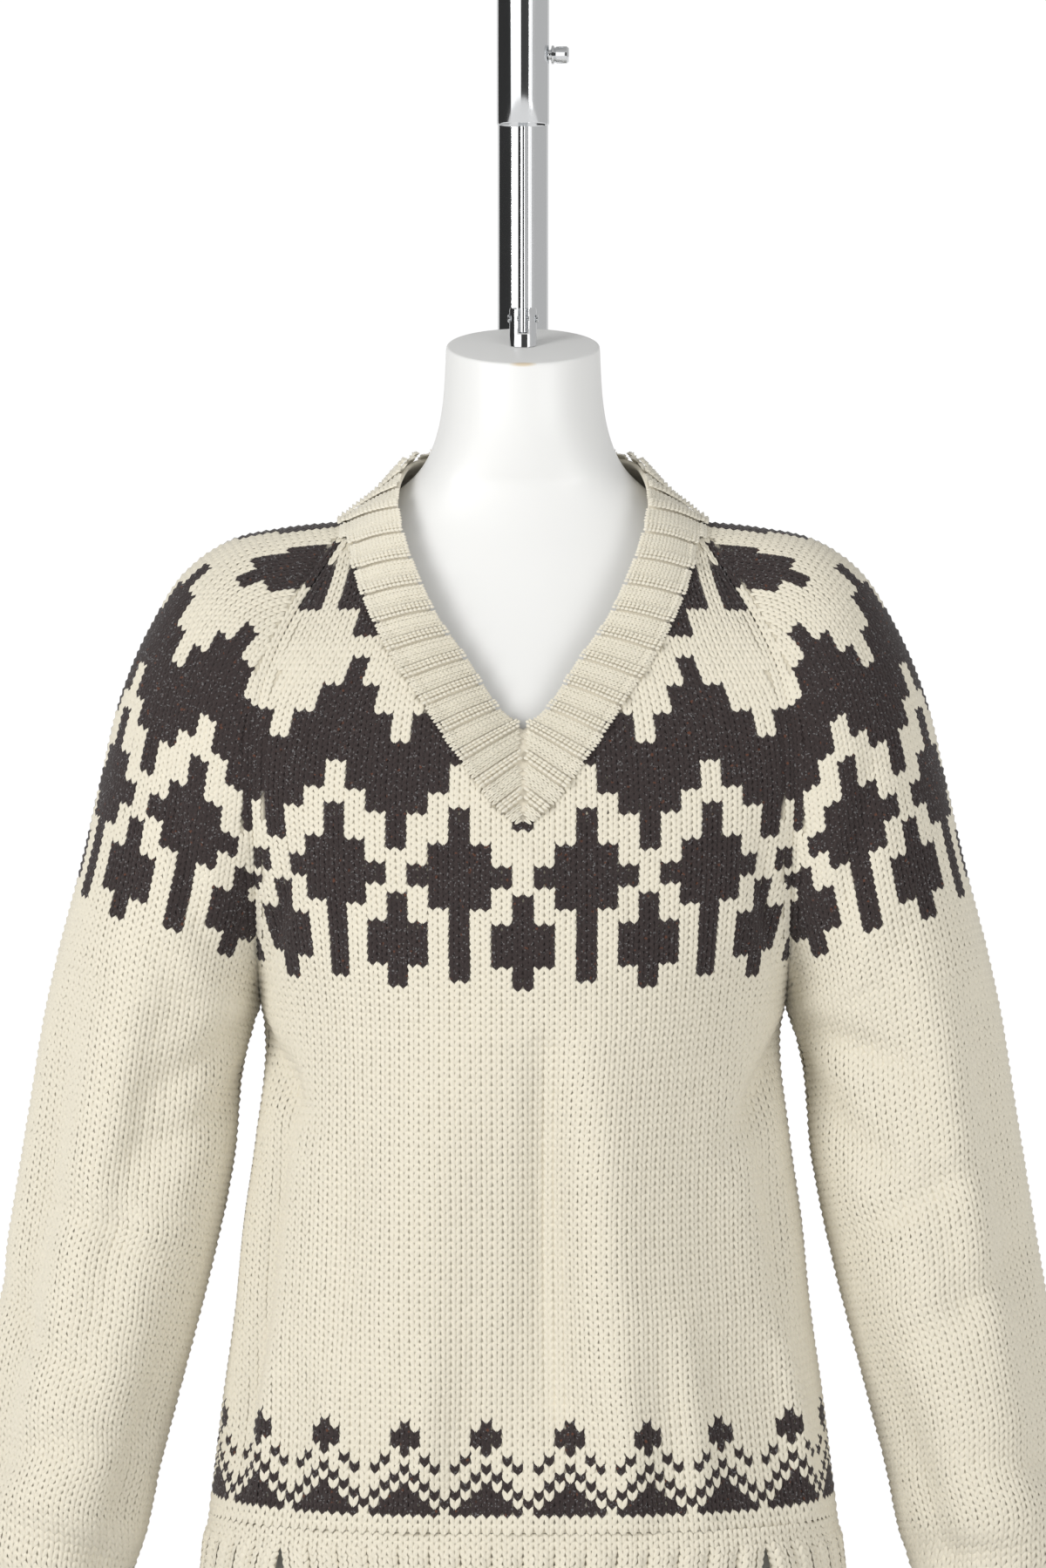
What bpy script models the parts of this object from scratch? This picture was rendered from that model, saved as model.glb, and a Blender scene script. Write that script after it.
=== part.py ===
"""A chunky-knit v-neck sweater with a patterned round yoke and raglan sleeves, worn by a limbless dress form.

The form hangs by a clevis and a rod from a chrome stand: a foot plate, a pole behind the form, a bend over its
neck and a short tube with a thumb screw. Metres, +Z up, front of the garment towards -Y. The origin is on the
floor, under the middle of the form.

The knit is worked out as one surface: a front and a back that follow short tables of rows, and two sleeves made of
elliptical rings. The panels are cut from it along the raglan seams, the side seams and the neckline, and each gets
a wall of its own. The pieces stand SEAM_GAP apart.
"""

import math

import bmesh
import bpy
import numpy as np
from mathutils import Matrix

# Cloth
KNIT_WALL = 0.0040
BAND_WALL = 0.0034
RIB_WALL = 0.0034
RIB_HEIGHT = 0.0018
SEAM_GAP = 0.0003
HEM_GAP = 0.0005
UNDERARM_GAP = 0.0005
NECK_MITRE = 0.0008

# Panels: how finely they are cut
YOKE_STEPS = (0, 0.08, 0.16, 0.24, 0.32, 0.408, 0.47, 0.54, 0.61, 0.68, 0.76, 0.84, 0.92, 1)
BODY_STEPS = 8
SLEEVE_STEPS = 10
HALF_PANEL_COLUMNS = 9
SLEEVE_COLUMNS = 14

# The v starts at this share of the yoke's height
V_SHARE = 0.408

# Ribbed bands
HEM_LENGTH = 0.061
HEM_FLARE = 1.035
HEM_RIB = 0.017
CUFF_LENGTH = 0.060
CUFF_RIB = 0.015
CUFF_LEAN = 0.2
BAND_RIB = 0.019
BAND_CROWN = 0.0025
POINTS_PER_RIB = 3

# Vents in the hem, at the front, where the front rib meets the back rib
VENT_X = 0.136
VENT_START = 0.20
VENT_HALF_WIDTH = 0.0075

# Dress form
FORM_SIDES = 28
CAP_BEVEL = 0.0015

# Stand
FOOT_RADIUS = 0.170
FOOT_THICKNESS = 0.008
FOOT_BEVEL = 0.0015
FOOT_Y = 0.030
TUBE_RADIUS = 0.015
TUBE_BORE = 0.0134
BEND_RADIUS = 0.080
BEND_Z = 1.058
TUBE_END_Z = 0.9725
ROD_Y = -0.008
ROD_RADIUS = 0.0029
ROD_END_Z = 0.853
BUSH_RADIUS = 0.0131
BUSH_Z = (0.992, 1.026)
SCREW_Z = 1.0125
SCREW_SHAFT = 0.0030
SCREW_HEAD = 0.0050
SCREW_HEAD_X = (0.0175, 0.0262)
FORK_WIDTH = 0.0155
FORK_DEPTH = 0.0100
FORK_TOP_Z = 0.8675
FORK_SLOT = 0.0066
FORK_FLOOR_Z = 0.8522
PIN_Z = 0.8615
PIN_RADIUS = 0.0014
PIN_HALF_LENGTH = 0.0095
ROUND_SIDES = 24


class Table:
    """Rows of sizes under named columns, read as smooth curves over the first column."""

    def __init__(self, columns, *rows):
        self.values = dict(zip(columns.split(), np.array(rows, float).T))
        self.key = self.values[columns.split()[0]]

    def read(self, column, at):
        rows = self.values[column]
        slopes = np.gradient(rows, self.key)
        k = int(np.clip(np.searchsorted(self.key, at, side="right") - 1, 0, len(rows) - 2))
        span = self.key[k + 1] - self.key[k]
        t = (at - self.key[k]) / span
        start = (2 * t**3 - 3 * t**2 + 1) * rows[k] + (t**3 - 2 * t**2 + t) * span * slopes[k]
        end = (3 * t**2 - 2 * t**3) * rows[k + 1] + (t**3 - t**2) * span * slopes[k + 1]
        return float(start + end)

    def all(self, at):
        return {column: self.read(column, at) for column in self.values}


# The sleeve cap, from the underarm (0) to the neck (1). outer is the line over the shoulder, seam the middle
# between the front and the back raglan seam, half_depth the ring's radius along Y, arc how far the ring runs
# from its outer point to each seam.
CAP = Table(
    "share outer_x outer_z seam_x seam_z half_depth arc",
    (0.00, 0.2650, 0.5025, 0.1510, 0.4675, 0.0700, 180),
    (0.15, 0.2526, 0.5495, 0.1510, 0.5105, 0.0745, 138),
    (0.30, 0.2417, 0.5970, 0.1520, 0.5525, 0.0790, 118),
    (0.45, 0.2300, 0.6450, 0.1530, 0.5925, 0.0825, 104),
    (0.60, 0.2110, 0.6890, 0.1510, 0.6310, 0.0820, 95),
    (0.70, 0.1930, 0.7165, 0.1450, 0.6565, 0.0760, 88),
    (0.80, 0.1670, 0.7345, 0.1340, 0.6825, 0.0650, 80),
    (0.90, 0.1355, 0.7415, 0.1190, 0.7090, 0.0500, 70),
    (1.00, 0.1030, 0.7450, 0.1030, 0.7350, 0.0346, 60),
)

# The sleeve below the underarm, from there (0) to the cuff (1): the outer and the inner edge seen from the front
SLEEVE = Table(
    "share outer_x outer_z inner_x inner_z half_depth",
    (0.00, 0.2650, 0.5025, 0.1510, 0.4675, 0.0700),
    (0.10, 0.2730, 0.4675, 0.1600, 0.4375, 0.0680),
    (0.26, 0.2830, 0.4075, 0.1660, 0.3810, 0.0660),
    (0.43, 0.2930, 0.3475, 0.1780, 0.3225, 0.0640),
    (0.60, 0.3030, 0.2875, 0.1930, 0.2640, 0.0620),
    (0.77, 0.3120, 0.2290, 0.2080, 0.2060, 0.0600),
    (0.91, 0.3195, 0.1780, 0.2200, 0.1560, 0.0570),
    (0.97, 0.3210, 0.1530, 0.2300, 0.1330, 0.0490),
    (1.00, 0.3140, 0.1380, 0.2430, 0.1200, 0.0400),
)

# The middle lines of front and back over the yoke, and how far each row wraps round to its raglan seam
YOKE_FRONT = Table(
    "share y z wrap",
    (0.00, -0.1180, 0.4560, 90),
    (0.15, -0.1190, 0.4985, 74),
    (0.30, -0.1150, 0.5410, 62),
    (0.45, -0.1070, 0.5835, 55),
    (0.60, -0.0960, 0.6260, 50),
    (0.70, -0.0870, 0.6545, 48),
    (0.80, -0.0770, 0.6830, 45),
    (0.90, -0.0660, 0.7110, 42),
    (1.00, -0.0550, 0.7395, 40),
)
YOKE_BACK = Table(
    "share y z wrap",
    (0.00, 0.1120, 0.4575, 90),
    (0.15, 0.1150, 0.5035, 74),
    (0.30, 0.1180, 0.5495, 62),
    (0.45, 0.1190, 0.5960, 56),
    (0.60, 0.1170, 0.6420, 54),
    (0.70, 0.1130, 0.6730, 54),
    (0.80, 0.1050, 0.7035, 56),
    (0.90, 0.0910, 0.7340, 60),
    (1.00, 0.0700, 0.7650, 66),
)

# How far the neckline stands from the middle line over the front's rows
NECKLINE = Table(
    "share half_width",
    (0.408, 0.0000),
    (0.440, 0.0120),
    (0.470, 0.0200),
    (0.524, 0.0315),
    (0.574, 0.0420),
    (0.660, 0.0575),
    (0.750, 0.0745),
    (0.810, 0.0830),
    (0.865, 0.0895),
    (0.940, 0.0955),
    (1.000, 0.0975),
)

# The body below the underarm, from there (0) to the hem rib (1)
BODY = Table(
    "share side_x side_z front_y front_z back_y back_z squareness",
    (0.00, 0.1510, 0.4675, -0.1180, 0.4560, 0.1120, 0.4575, 2.00),
    (0.08, 0.1475, 0.4450, -0.1180, 0.4330, 0.1100, 0.4340, 2.02),
    (0.25, 0.1520, 0.3950, -0.1160, 0.3850, 0.1065, 0.3870, 2.10),
    (0.42, 0.1590, 0.3450, -0.1130, 0.3350, 0.1040, 0.3370, 2.20),
    (0.60, 0.1640, 0.2950, -0.1105, 0.2850, 0.1030, 0.2870, 2.30),
    (0.76, 0.1710, 0.2450, -0.1090, 0.2360, 0.1040, 0.2380, 2.40),
    (0.93, 0.1770, 0.1960, -0.1080, 0.1890, 0.1060, 0.1910, 2.45),
    (1.00, 0.1790, 0.1800, -0.1080, 0.1755, 0.1070, 0.1765, 2.50),
)

# The neckband's free edge, from the point of the v (0) round the side of the neck to the nape (1)
BAND_EDGE = Table(
    "share x y z",
    (0.00, 0.0000, -0.0925, 0.6260),
    (0.10, 0.0135, -0.0905, 0.6355),
    (0.24, 0.0335, -0.0830, 0.6655),
    (0.36, 0.0500, -0.0750, 0.6895),
    (0.47, 0.0615, -0.0650, 0.7147),
    (0.56, 0.0690, -0.0540, 0.7360),
    (0.64, 0.0725, -0.0390, 0.7560),
    (0.70, 0.0715, -0.0200, 0.7690),
    (0.76, 0.0665, 0.0050, 0.7790),
    (0.84, 0.0535, 0.0290, 0.7840),
    (0.92, 0.0300, 0.0460, 0.7860),
    (1.00, 0.0000, 0.0525, 0.7865),
)

# Soft folds pressed into the cloth: where they lie along the row (-1 to 1), how wide and deep they are, and the
# share of the panel's height where they begin and end
BODY_FOLDS = (
    {"middle": 0.00, "width": 0.16, "depth": 0.0045, "start": 0.02, "end": 0.97},
    {"middle": -0.62, "width": 0.10, "depth": 0.0040, "start": 0.30, "end": 1.00},
    {"middle": 0.60, "width": 0.10, "depth": 0.0035, "start": 0.35, "end": 1.00},
)
SLEEVE_FOLDS = (
    {"middle": -0.24, "width": 0.10, "depth": 0.0060, "start": 0.02, "end": 0.96},
    {"middle": -0.62, "width": 0.09, "depth": 0.0050, "start": 0.00, "end": 0.40},
    {"middle": 0.42, "width": 0.12, "depth": 0.0050, "start": 0.05, "end": 0.85},
)

# The dress form, ring by ring from the neck cap down. tilt is how far a ring leans forward.
FORM = Table(
    "row z half_width front_y back_y tilt",
    (0, 0.8460, 0.0440, -0.0520, 0.0360, 16),
    (1, 0.8300, 0.0446, -0.0525, 0.0365, 14),
    (2, 0.8130, 0.0456, -0.0520, 0.0380, 11),
    (3, 0.7990, 0.0480, -0.0500, 0.0400, 8),
    (4, 0.7850, 0.0524, -0.0470, 0.0430, 5),
    (5, 0.7760, 0.0580, -0.0450, 0.0460, 3),
    (6, 0.7700, 0.0636, -0.0435, 0.0490, 2),
    (7, 0.7655, 0.0696, -0.0425, 0.0500, 0),
    (8, 0.7573, 0.0792, -0.0430, 0.0515, 0),
    (9, 0.7478, 0.0916, -0.0440, 0.0530, 0),
    (10, 0.7378, 0.1062, -0.0460, 0.0545, 0),
    (11, 0.7285, 0.1214, -0.0485, 0.0548, 0),
    (12, 0.7183, 0.1352, -0.0510, 0.0562, 0),
    (13, 0.7053, 0.1476, -0.0545, 0.0612, 0),
    (14, 0.6885, 0.1590, -0.0600, 0.0735, 0),
    (15, 0.6650, 0.1660, -0.0690, 0.0900, 0),
    (16, 0.6260, 0.1680, -0.0835, 0.1040, 0),
    (17, 0.5830, 0.1660, -0.0970, 0.1080, 0),
    (18, 0.5410, 0.1560, -0.1050, 0.1060, 0),
    (19, 0.4980, 0.1450, -0.1080, 0.1020, 0),
    (20, 0.4560, 0.1360, -0.1060, 0.0970, 0),
    (21, 0.4000, 0.1240, -0.0940, 0.0870, 0),
    (22, 0.3500, 0.1190, -0.0850, 0.0820, 0),
    (23, 0.2900, 0.1320, -0.0880, 0.0850, 0),
    (24, 0.2300, 0.1500, -0.0940, 0.0910, 0),
    (25, 0.1600, 0.1600, -0.0990, 0.0970, 0),
    (26, 0.0950, 0.1520, -0.0940, 0.0920, 0),
)


# The knit surface


def dip(folds, across, share):
    """How deep the folds press the cloth in at this place."""
    depth = 0.0
    for fold in folds:
        along = (share - fold["start"]) / (fold["end"] - fold["start"])
        if 0 < along < 1:
            near = (across - fold["middle"]) / fold["width"]
            depth += fold["depth"] * math.exp(-near * near) * math.sin(math.pi * along) ** 0.5
    return depth


def ring_point(outer, inner, half_depth, arc, turn, press):
    """A point of a sleeve ring: turn -1 is its front end, 0 its outer point and 1 its back end."""
    outer = np.array(outer)
    across = outer - np.array(inner)
    end = math.radians(arc)
    radius = np.linalg.norm(across) / (1 - math.cos(end))
    direction = across / np.linalg.norm(across)
    centre = outer - direction * radius
    angle = turn * end
    x, z = centre + direction * (radius - press) * math.cos(angle)
    return np.array((x, (half_depth - press) * math.sin(angle), z))


def cap_point(share, turn):
    row = CAP.all(share)
    press = dip(SLEEVE_FOLDS, turn, 0.0)
    outer, seam = (row["outer_x"], row["outer_z"]), (row["seam_x"], row["seam_z"])
    return ring_point(outer, seam, row["half_depth"], row["arc"], turn, press)


def sleeve_point(share, turn):
    row = SLEEVE.all(share)
    press = dip(SLEEVE_FOLDS, turn, share)
    outer, inner = (row["outer_x"], row["outer_z"]), (row["inner_x"], row["inner_z"])
    return ring_point(outer, inner, row["half_depth"], 180, turn, press)


def yoke_point(table, share, across):
    """A point of the front or the back above the underarm: across is -1 at one raglan seam and 1 at the other."""
    row = table.all(share)
    toward = -1 if row["y"] < 0 else 1
    seam = cap_point(share, toward)
    end = math.radians(row["wrap"])
    angle = across * end
    rise = (1 - math.cos(angle)) / (1 - math.cos(end))
    x = seam[0] * math.sin(angle) / math.sin(end)
    y = row["y"] + (seam[1] - row["y"]) * rise
    z = row["z"] + (seam[2] - row["z"]) * rise
    return np.array((x, y, z))


def body_point(side, share, across):
    """A point below the underarm: side is front or back, across is -1 at one side seam and 1 at the other."""
    row = BODY.all(share)
    angle = across * math.pi / 2
    power = 2 / row["squareness"]
    inward = max(math.cos(angle), 0.0) ** power
    x = row["side_x"] * math.copysign(abs(math.sin(angle)) ** power, angle)
    press = dip(BODY_FOLDS, across, share)
    y = (abs(row[side + "_y"]) - press) * inward * (-1 if side == "front" else 1)
    z = row["side_z"] + (row[side + "_z"] - row["side_z"]) * math.cos(angle)
    return np.array((x, y, z))


def v_edge(share):
    """Where the neckline cuts the front at this row, as a share of the way to the raglan seam."""
    if share <= V_SHARE:
        return 0.0
    half_width = NECKLINE.read("half_width", share)
    end = math.radians(YOKE_FRONT.read("wrap", share))
    seam_x = cap_point(share, -1)[0]
    return math.asin(half_width * math.sin(end) / seam_x) / end


# Grids of outer points, row by row. The left side, at -X, mirrors the right.


def mirrored(grid):
    return grid[:, ::-1] * np.array((-1.0, 1.0, 1.0))


def half_front():
    rows = []
    for share in reversed(YOKE_STEPS):
        start = v_edge(share)
        spots = np.linspace(start, 1, HALF_PANEL_COLUMNS + 1)
        rows.append([yoke_point(YOKE_FRONT, share, a) for a in spots])
    for share in np.linspace(0, 1, BODY_STEPS + 1)[1:]:
        spots = np.linspace(0, 1, HALF_PANEL_COLUMNS + 1)
        rows.append([body_point("front", share, a) for a in spots])
    return np.array(rows)


def whole_back():
    spots = np.linspace(-1, 1, 2 * HALF_PANEL_COLUMNS + 1)
    rows = [[yoke_point(YOKE_BACK, share, a) for a in spots] for share in reversed(YOKE_STEPS)]
    for share in np.linspace(0, 1, BODY_STEPS + 1)[1:]:
        rows.append([body_point("back", share, a) for a in spots])
    return np.array(rows)[:, ::-1]


def sleeve():
    spots = np.linspace(-1, 1, SLEEVE_COLUMNS + 1)
    rows = [[cap_point(share, a) for a in spots] for share in reversed(YOKE_STEPS)]
    for share in np.linspace(0, 1, SLEEVE_STEPS + 1)[1:]:
        rows.append([sleeve_point(share, a) for a in spots])
    return np.array(rows)


def place(point):
    """A point's name among all panels, so that panels that meet at a seam share a normal there."""
    return tuple(round(float(value) * 1e5) for value in point)


def shared_normals(grids):
    """Outward normals at every point of every grid, averaged where grids meet."""
    total = {}
    for grid in grids:
        for i in range(grid.shape[0] - 1):
            for j in range(grid.shape[1] - 1):
                a, b, c, d = grid[i, j], grid[i + 1, j], grid[i + 1, j + 1], grid[i, j + 1]
                normal = np.cross(c - a, d - b)
                for corner in (a, b, c, d):
                    total[place(corner)] = total.get(place(corner), 0) + normal
    normals = []
    for grid in grids:
        found = np.array([[total[place(point)] for point in row] for row in grid])
        normals.append(found / np.linalg.norm(found, axis=2, keepdims=True))
    return normals


def toward(point, goal, distance):
    way = goal - point
    return point + way * distance / np.linalg.norm(way)


def trimmed(grid, closed_rows=(), neckline="top", mitre=0.0):
    """The grid with each cut edge drawn in by half a seam gap, and by the mitre too along the neckline.

    A closed row has no cut edge at its two ends. The front meets the neckline with its top and its first side.
    """
    cut = grid.copy()
    half = SEAM_GAP / 2
    for i in range(len(grid)):
        if i not in closed_rows:
            cut[i, -1] = toward(grid[i, -1], grid[i, -2], half)
            if neckline == "top":
                cut[i, 0] = toward(grid[i, 0], grid[i, 1], half)
            elif abs(grid[i, 0][0]) > half:
                cut[i, 0] = toward(grid[i, 0], grid[i, 1], half + mitre)
    for j in range(grid.shape[1]):
        cut[0, j] = toward(cut[0, j], cut[1, j], half + mitre)
        cut[-1, j] = toward(cut[-1, j], cut[-2, j], half)
    return cut


# Meshes


def material(name, colour, roughness, metallic=0.0):
    made = bpy.data.materials.new(name)
    made.use_nodes = True
    shader = made.node_tree.nodes["Principled BSDF"]
    shader.inputs["Base Color"].default_value = (*colour, 1.0)
    shader.inputs["Roughness"].default_value = roughness
    shader.inputs["Metallic"].default_value = metallic
    return made


def finished(name, bm, finish, smooth=True):
    """An object from a bmesh: doubles merged, faces pointing out, smooth but for its sharp edges."""
    bmesh.ops.remove_doubles(bm, verts=bm.verts, dist=0.00002)
    bmesh.ops.recalc_face_normals(bm, faces=bm.faces)
    mesh = bpy.data.meshes.new(name)
    bm.to_mesh(mesh)
    bm.free()
    if smooth:
        mesh.shade_smooth()
        mesh.set_sharp_from_angle(angle=math.radians(50))
    mesh.materials.append(finish)
    made = bpy.data.objects.new(name, mesh)
    bpy.context.scene.collection.objects.link(made)
    return made


def add_wall(bm, outer, inner, open_ends):
    """A cloth wall between two grids. open_ends says, for each row, whether its two ends are cut edges."""
    rows, columns = outer.shape[:2]
    out = [[bm.verts.new(outer[i, j]) for j in range(columns)] for i in range(rows)]
    into = [[bm.verts.new(inner[i, j]) for j in range(columns)] for i in range(rows)]
    for i in range(rows - 1):
        for j in range(columns - 1):
            bm.faces.new((out[i][j], out[i + 1][j], out[i + 1][j + 1], out[i][j + 1]))
            bm.faces.new((into[i][j + 1], into[i + 1][j + 1], into[i + 1][j], into[i][j]))
        if open_ends[i] or open_ends[i + 1]:
            bm.faces.new((out[i][0], into[i][0], into[i + 1][0], out[i + 1][0]))
            bm.faces.new((out[i][-1], out[i + 1][-1], into[i + 1][-1], into[i][-1]))
    for j in range(columns - 1):
        bm.faces.new((out[0][j + 1], into[0][j + 1], into[0][j], out[0][j]))
        bm.faces.new((out[-1][j], into[-1][j], into[-1][j + 1], out[-1][j + 1]))


def turned(name, profile, finish, centre=(0.0, 0.0), sides=ROUND_SIDES):
    """A solid turned about a vertical axis from (radius, z) pairs. A radius of 0 closes an end."""
    bm = bmesh.new()
    rings = []
    for radius, z in profile:
        angles = [2 * math.pi * k / sides for k in range(sides)]
        rings.append(
            [
                bm.verts.new((centre[0] + radius * math.cos(a), centre[1] + radius * math.sin(a), z))
                for a in angles
            ]
        )
    for low, high in zip(rings, rings[1:] + rings[:1]):
        for k in range(sides):
            after = (k + 1) % sides
            bm.faces.new((low[k], low[after], high[after], high[k]))
    bmesh.ops.remove_doubles(bm, verts=bm.verts, dist=0.00002)
    bmesh.ops.dissolve_degenerate(bm, edges=bm.edges, dist=0.00002)
    return finished(name, bm, finish)


def cut_by(target, cutter):
    """Takes the cutter's shape out of the target, which keeps the cut as a modifier."""
    cutter.hide_render = True
    cutter.display_type = "WIRE"
    cut = target.modifiers.new("cut", "BOOLEAN")
    cut.operation = "DIFFERENCE"
    cut.solver = "EXACT"
    cut.object = cutter


def crosswise_cylinder(name, radius, start_x, end_x, z, finish, sides=ROUND_SIDES):
    """A cylinder along X, at the rod's depth."""
    bm = bmesh.new()
    ends = []
    for x in (start_x, end_x):
        angles = [2 * math.pi * k / sides for k in range(sides)]
        ring = [(x, ROD_Y + radius * math.cos(a), z + radius * math.sin(a)) for a in angles]
        ends.append([bm.verts.new(point) for point in ring])
    for k in range(sides):
        after = (k + 1) % sides
        bm.faces.new((ends[0][k], ends[0][after], ends[1][after], ends[1][k]))
    bm.faces.new(ends[0])
    bm.faces.new(ends[1])
    return finished(name, bm, finish)


# Sweater


def sweater_panels(knit):
    """Front, back and both sleeves. Returns the outer points of the panels' edges, for the bands."""
    front_right = half_front()
    front_left = mirrored(front_right)
    back = whole_back()
    sleeve_right = sleeve()
    sleeve_left = mirrored(sleeve_right)
    grids = (front_left, front_right, back, sleeve_left, sleeve_right)
    normals = shared_normals(grids)
    for grid, normal in zip(grids, normals):
        normal[np.abs(grid[:, :, 1]) + np.abs(grid[:, :, 2] - CAP.read("seam_z", 0)) < 1e-6] = (0, 0, -1)

    bm = bmesh.new()
    v_rows = sum(share > V_SHARE for share in YOKE_STEPS)
    for grid, normal, flip in ((front_left, normals[0], True), (front_right, normals[1], False)):
        facing = grid[:, ::-1] if flip else grid
        outward = normal[:, ::-1] if flip else normal
        outer = trimmed(facing, neckline="side")
        inner = trimmed(facing, neckline="side", mitre=NECK_MITRE) - outward * KNIT_WALL
        in_v = np.arange(len(outer)) < v_rows
        outer[~in_v, 0, 0] = 0.0
        inner[~in_v, 0, 0] = 0.0
        add_front_half(bm, outer, inner, in_v)
    finished("front", bm, knit)

    bm = bmesh.new()
    outer = trimmed(back)
    inner = trimmed(back, mitre=NECK_MITRE) - normals[2] * KNIT_WALL
    add_wall(bm, outer, inner, [True] * len(outer))
    finished("back", bm, knit)

    closed = range(len(YOKE_STEPS) - 1, len(sleeve_right))
    for name, grid, normal in (
        ("sleeve_left", sleeve_left, normals[3]),
        ("sleeve_right", sleeve_right, normals[4]),
    ):
        bm = bmesh.new()
        underarm = grid[closed[0], 0]
        grid[closed[0], (0, -1)] = underarm + np.array((math.copysign(UNDERARM_GAP, underarm[0]), 0, 0))
        outer = trimmed(grid, closed_rows=closed)
        inner = trimmed(grid, closed_rows=closed, mitre=NECK_MITRE) - normal * KNIT_WALL
        open_ends = [i not in closed for i in range(len(grid))]
        add_wall(bm, outer, inner, open_ends)
        finished(name, bm, knit)
    return front_right, back, sleeve_right


def add_front_half(bm, outer, inner, in_v):
    """One half of the front. Below the v the halves meet on the middle line, so there is no wall there."""
    rows, columns = outer.shape[:2]
    out = [[bm.verts.new(outer[i, j]) for j in range(columns)] for i in range(rows)]
    into = [[bm.verts.new(inner[i, j]) for j in range(columns)] for i in range(rows)]
    for i in range(rows - 1):
        for j in range(columns - 1):
            bm.faces.new((out[i][j], out[i + 1][j], out[i + 1][j + 1], out[i][j + 1]))
            bm.faces.new((into[i][j + 1], into[i + 1][j + 1], into[i + 1][j], into[i][j]))
        bm.faces.new((out[i][-1], out[i + 1][-1], into[i + 1][-1], into[i][-1]))
        if in_v[i]:
            bm.faces.new((out[i][0], into[i][0], into[i + 1][0], out[i + 1][0]))
    for j in range(columns - 1):
        bm.faces.new((out[0][j + 1], into[0][j + 1], into[0][j], out[0][j]))
        bm.faces.new((out[-1][j], into[-1][j], into[-1][j + 1], out[-1][j + 1]))


def spread(line, count):
    """count + 1 points evenly along a line of points."""
    steps = np.linalg.norm(np.diff(line, axis=0), axis=1)
    reach = np.concatenate(([0.0], np.cumsum(steps)))
    spots = np.linspace(0, reach[-1], count + 1)
    return np.array([np.interp(spots, reach, line[:, axis]) for axis in range(3)]).T


def length_of(line):
    return float(np.linalg.norm(np.diff(line, axis=0), axis=1).sum())


def rib_count(length, rib):
    return max(2, round(length / rib))


def rib_height(column, columns):
    """How far the knit stands up here: nothing in a groove or at the band's ends."""
    if column in (0, columns):
        return 0.0
    return RIB_HEIGHT if column % POINTS_PER_RIB else 0.0


def ribbed_band(name, grid, wall, finish, closed=False, mitre=0.0):
    """A band of ribs that run from its first row to its last. The ribs are raised over a plain inside."""
    columns = grid.shape[1] - 1
    normal = shared_normals([grid])[0]
    if closed:
        normal[:, 0] = normal[:, 0] + normal[:, -1]
        normal[:, 0] /= np.linalg.norm(normal[:, 0], axis=1, keepdims=True)
        normal[:, -1] = normal[:, 0]
    closed_rows = range(len(grid)) if closed else ()
    outer = trimmed(grid, closed_rows=closed_rows)
    inner = trimmed(grid, closed_rows=closed_rows, mitre=mitre) - normal * wall
    for j in range(columns + 1):
        outer[1:, j] += normal[1:, j] * rib_height(j, columns)
    bm = bmesh.new()
    add_wall(bm, outer, inner, [not closed] * len(grid))
    finished(name, bm, finish)


def lower_line(front_right, back):
    """The body's lower edge as one line, from the middle of the front round the right side to the nape's line."""
    right_front = front_right[-1]
    right_back = back[-1][: HALF_PANEL_COLUMNS + 1]
    return np.concatenate((right_front, right_back[1:]))


def hem(front_right, back, finish):
    """The front and the back hem rib, parted by the two vents."""
    half = lower_line(front_right, back)
    at = next(k for k in range(len(half) - 1) if half[k][0] <= VENT_X <= half[k + 1][0])
    share = (VENT_X - half[at][0]) / (half[at + 1][0] - half[at][0])
    corner = half[at] + (half[at + 1] - half[at]) * share
    front_half = np.concatenate((half[: at + 1], [corner]))
    back_half = np.concatenate(([corner], half[at + 1 :]))
    flip = np.array((-1.0, 1.0, 1.0))
    lines = {
        "hem_front": np.concatenate((front_half[::-1] * flip, front_half[1:])),
        "hem_back": np.concatenate((back_half, (back_half * flip)[-2::-1])),
    }
    for name, line in lines.items():
        columns = rib_count(length_of(line), HEM_RIB) * POINTS_PER_RIB
        top = spread(line, columns)
        rows = []
        for drop in (0.0, VENT_START, 1.0):
            flare = 1 + (HEM_FLARE - 1) * drop
            row = top * np.array((flare, flare, 1.0)) - np.array((0, 0, HEM_GAP + HEM_LENGTH * drop))
            opening = VENT_HALF_WIDTH * max(0.0, drop - VENT_START) / (1 - VENT_START)
            row = narrowed(row, opening)
            rows.append(row)
        ribbed_band(name, np.array(rows), RIB_WALL, finish)


def narrowed(line, trim):
    """The line with both ends drawn in by trim, its points spread evenly again."""
    if trim <= 0:
        return line
    total = length_of(line)
    steps = np.linalg.norm(np.diff(line, axis=0), axis=1)
    reach = np.concatenate(([0.0], np.cumsum(steps)))
    spots = np.linspace(trim, total - trim, len(line))
    return np.array([np.interp(spots, reach, line[:, axis]) for axis in range(3)]).T


def cuff(name, end_ring, finish):
    """A ribbed cuff that carries on from the sleeve's last ring."""
    columns = rib_count(length_of(end_ring), CUFF_RIB) * POINTS_PER_RIB
    top = spread(end_ring, columns)
    outward = math.copysign(1.0, top[:, 0].mean())
    along = np.array((outward * CUFF_LEAN, 0.0, -math.sqrt(1 - CUFF_LEAN**2)))
    rows = [top + along * CUFF_LENGTH * share for share in (0.0, 0.15, 1.0)]
    ribbed_band(name, np.array(rows), RIB_WALL, finish, closed=True)


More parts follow.
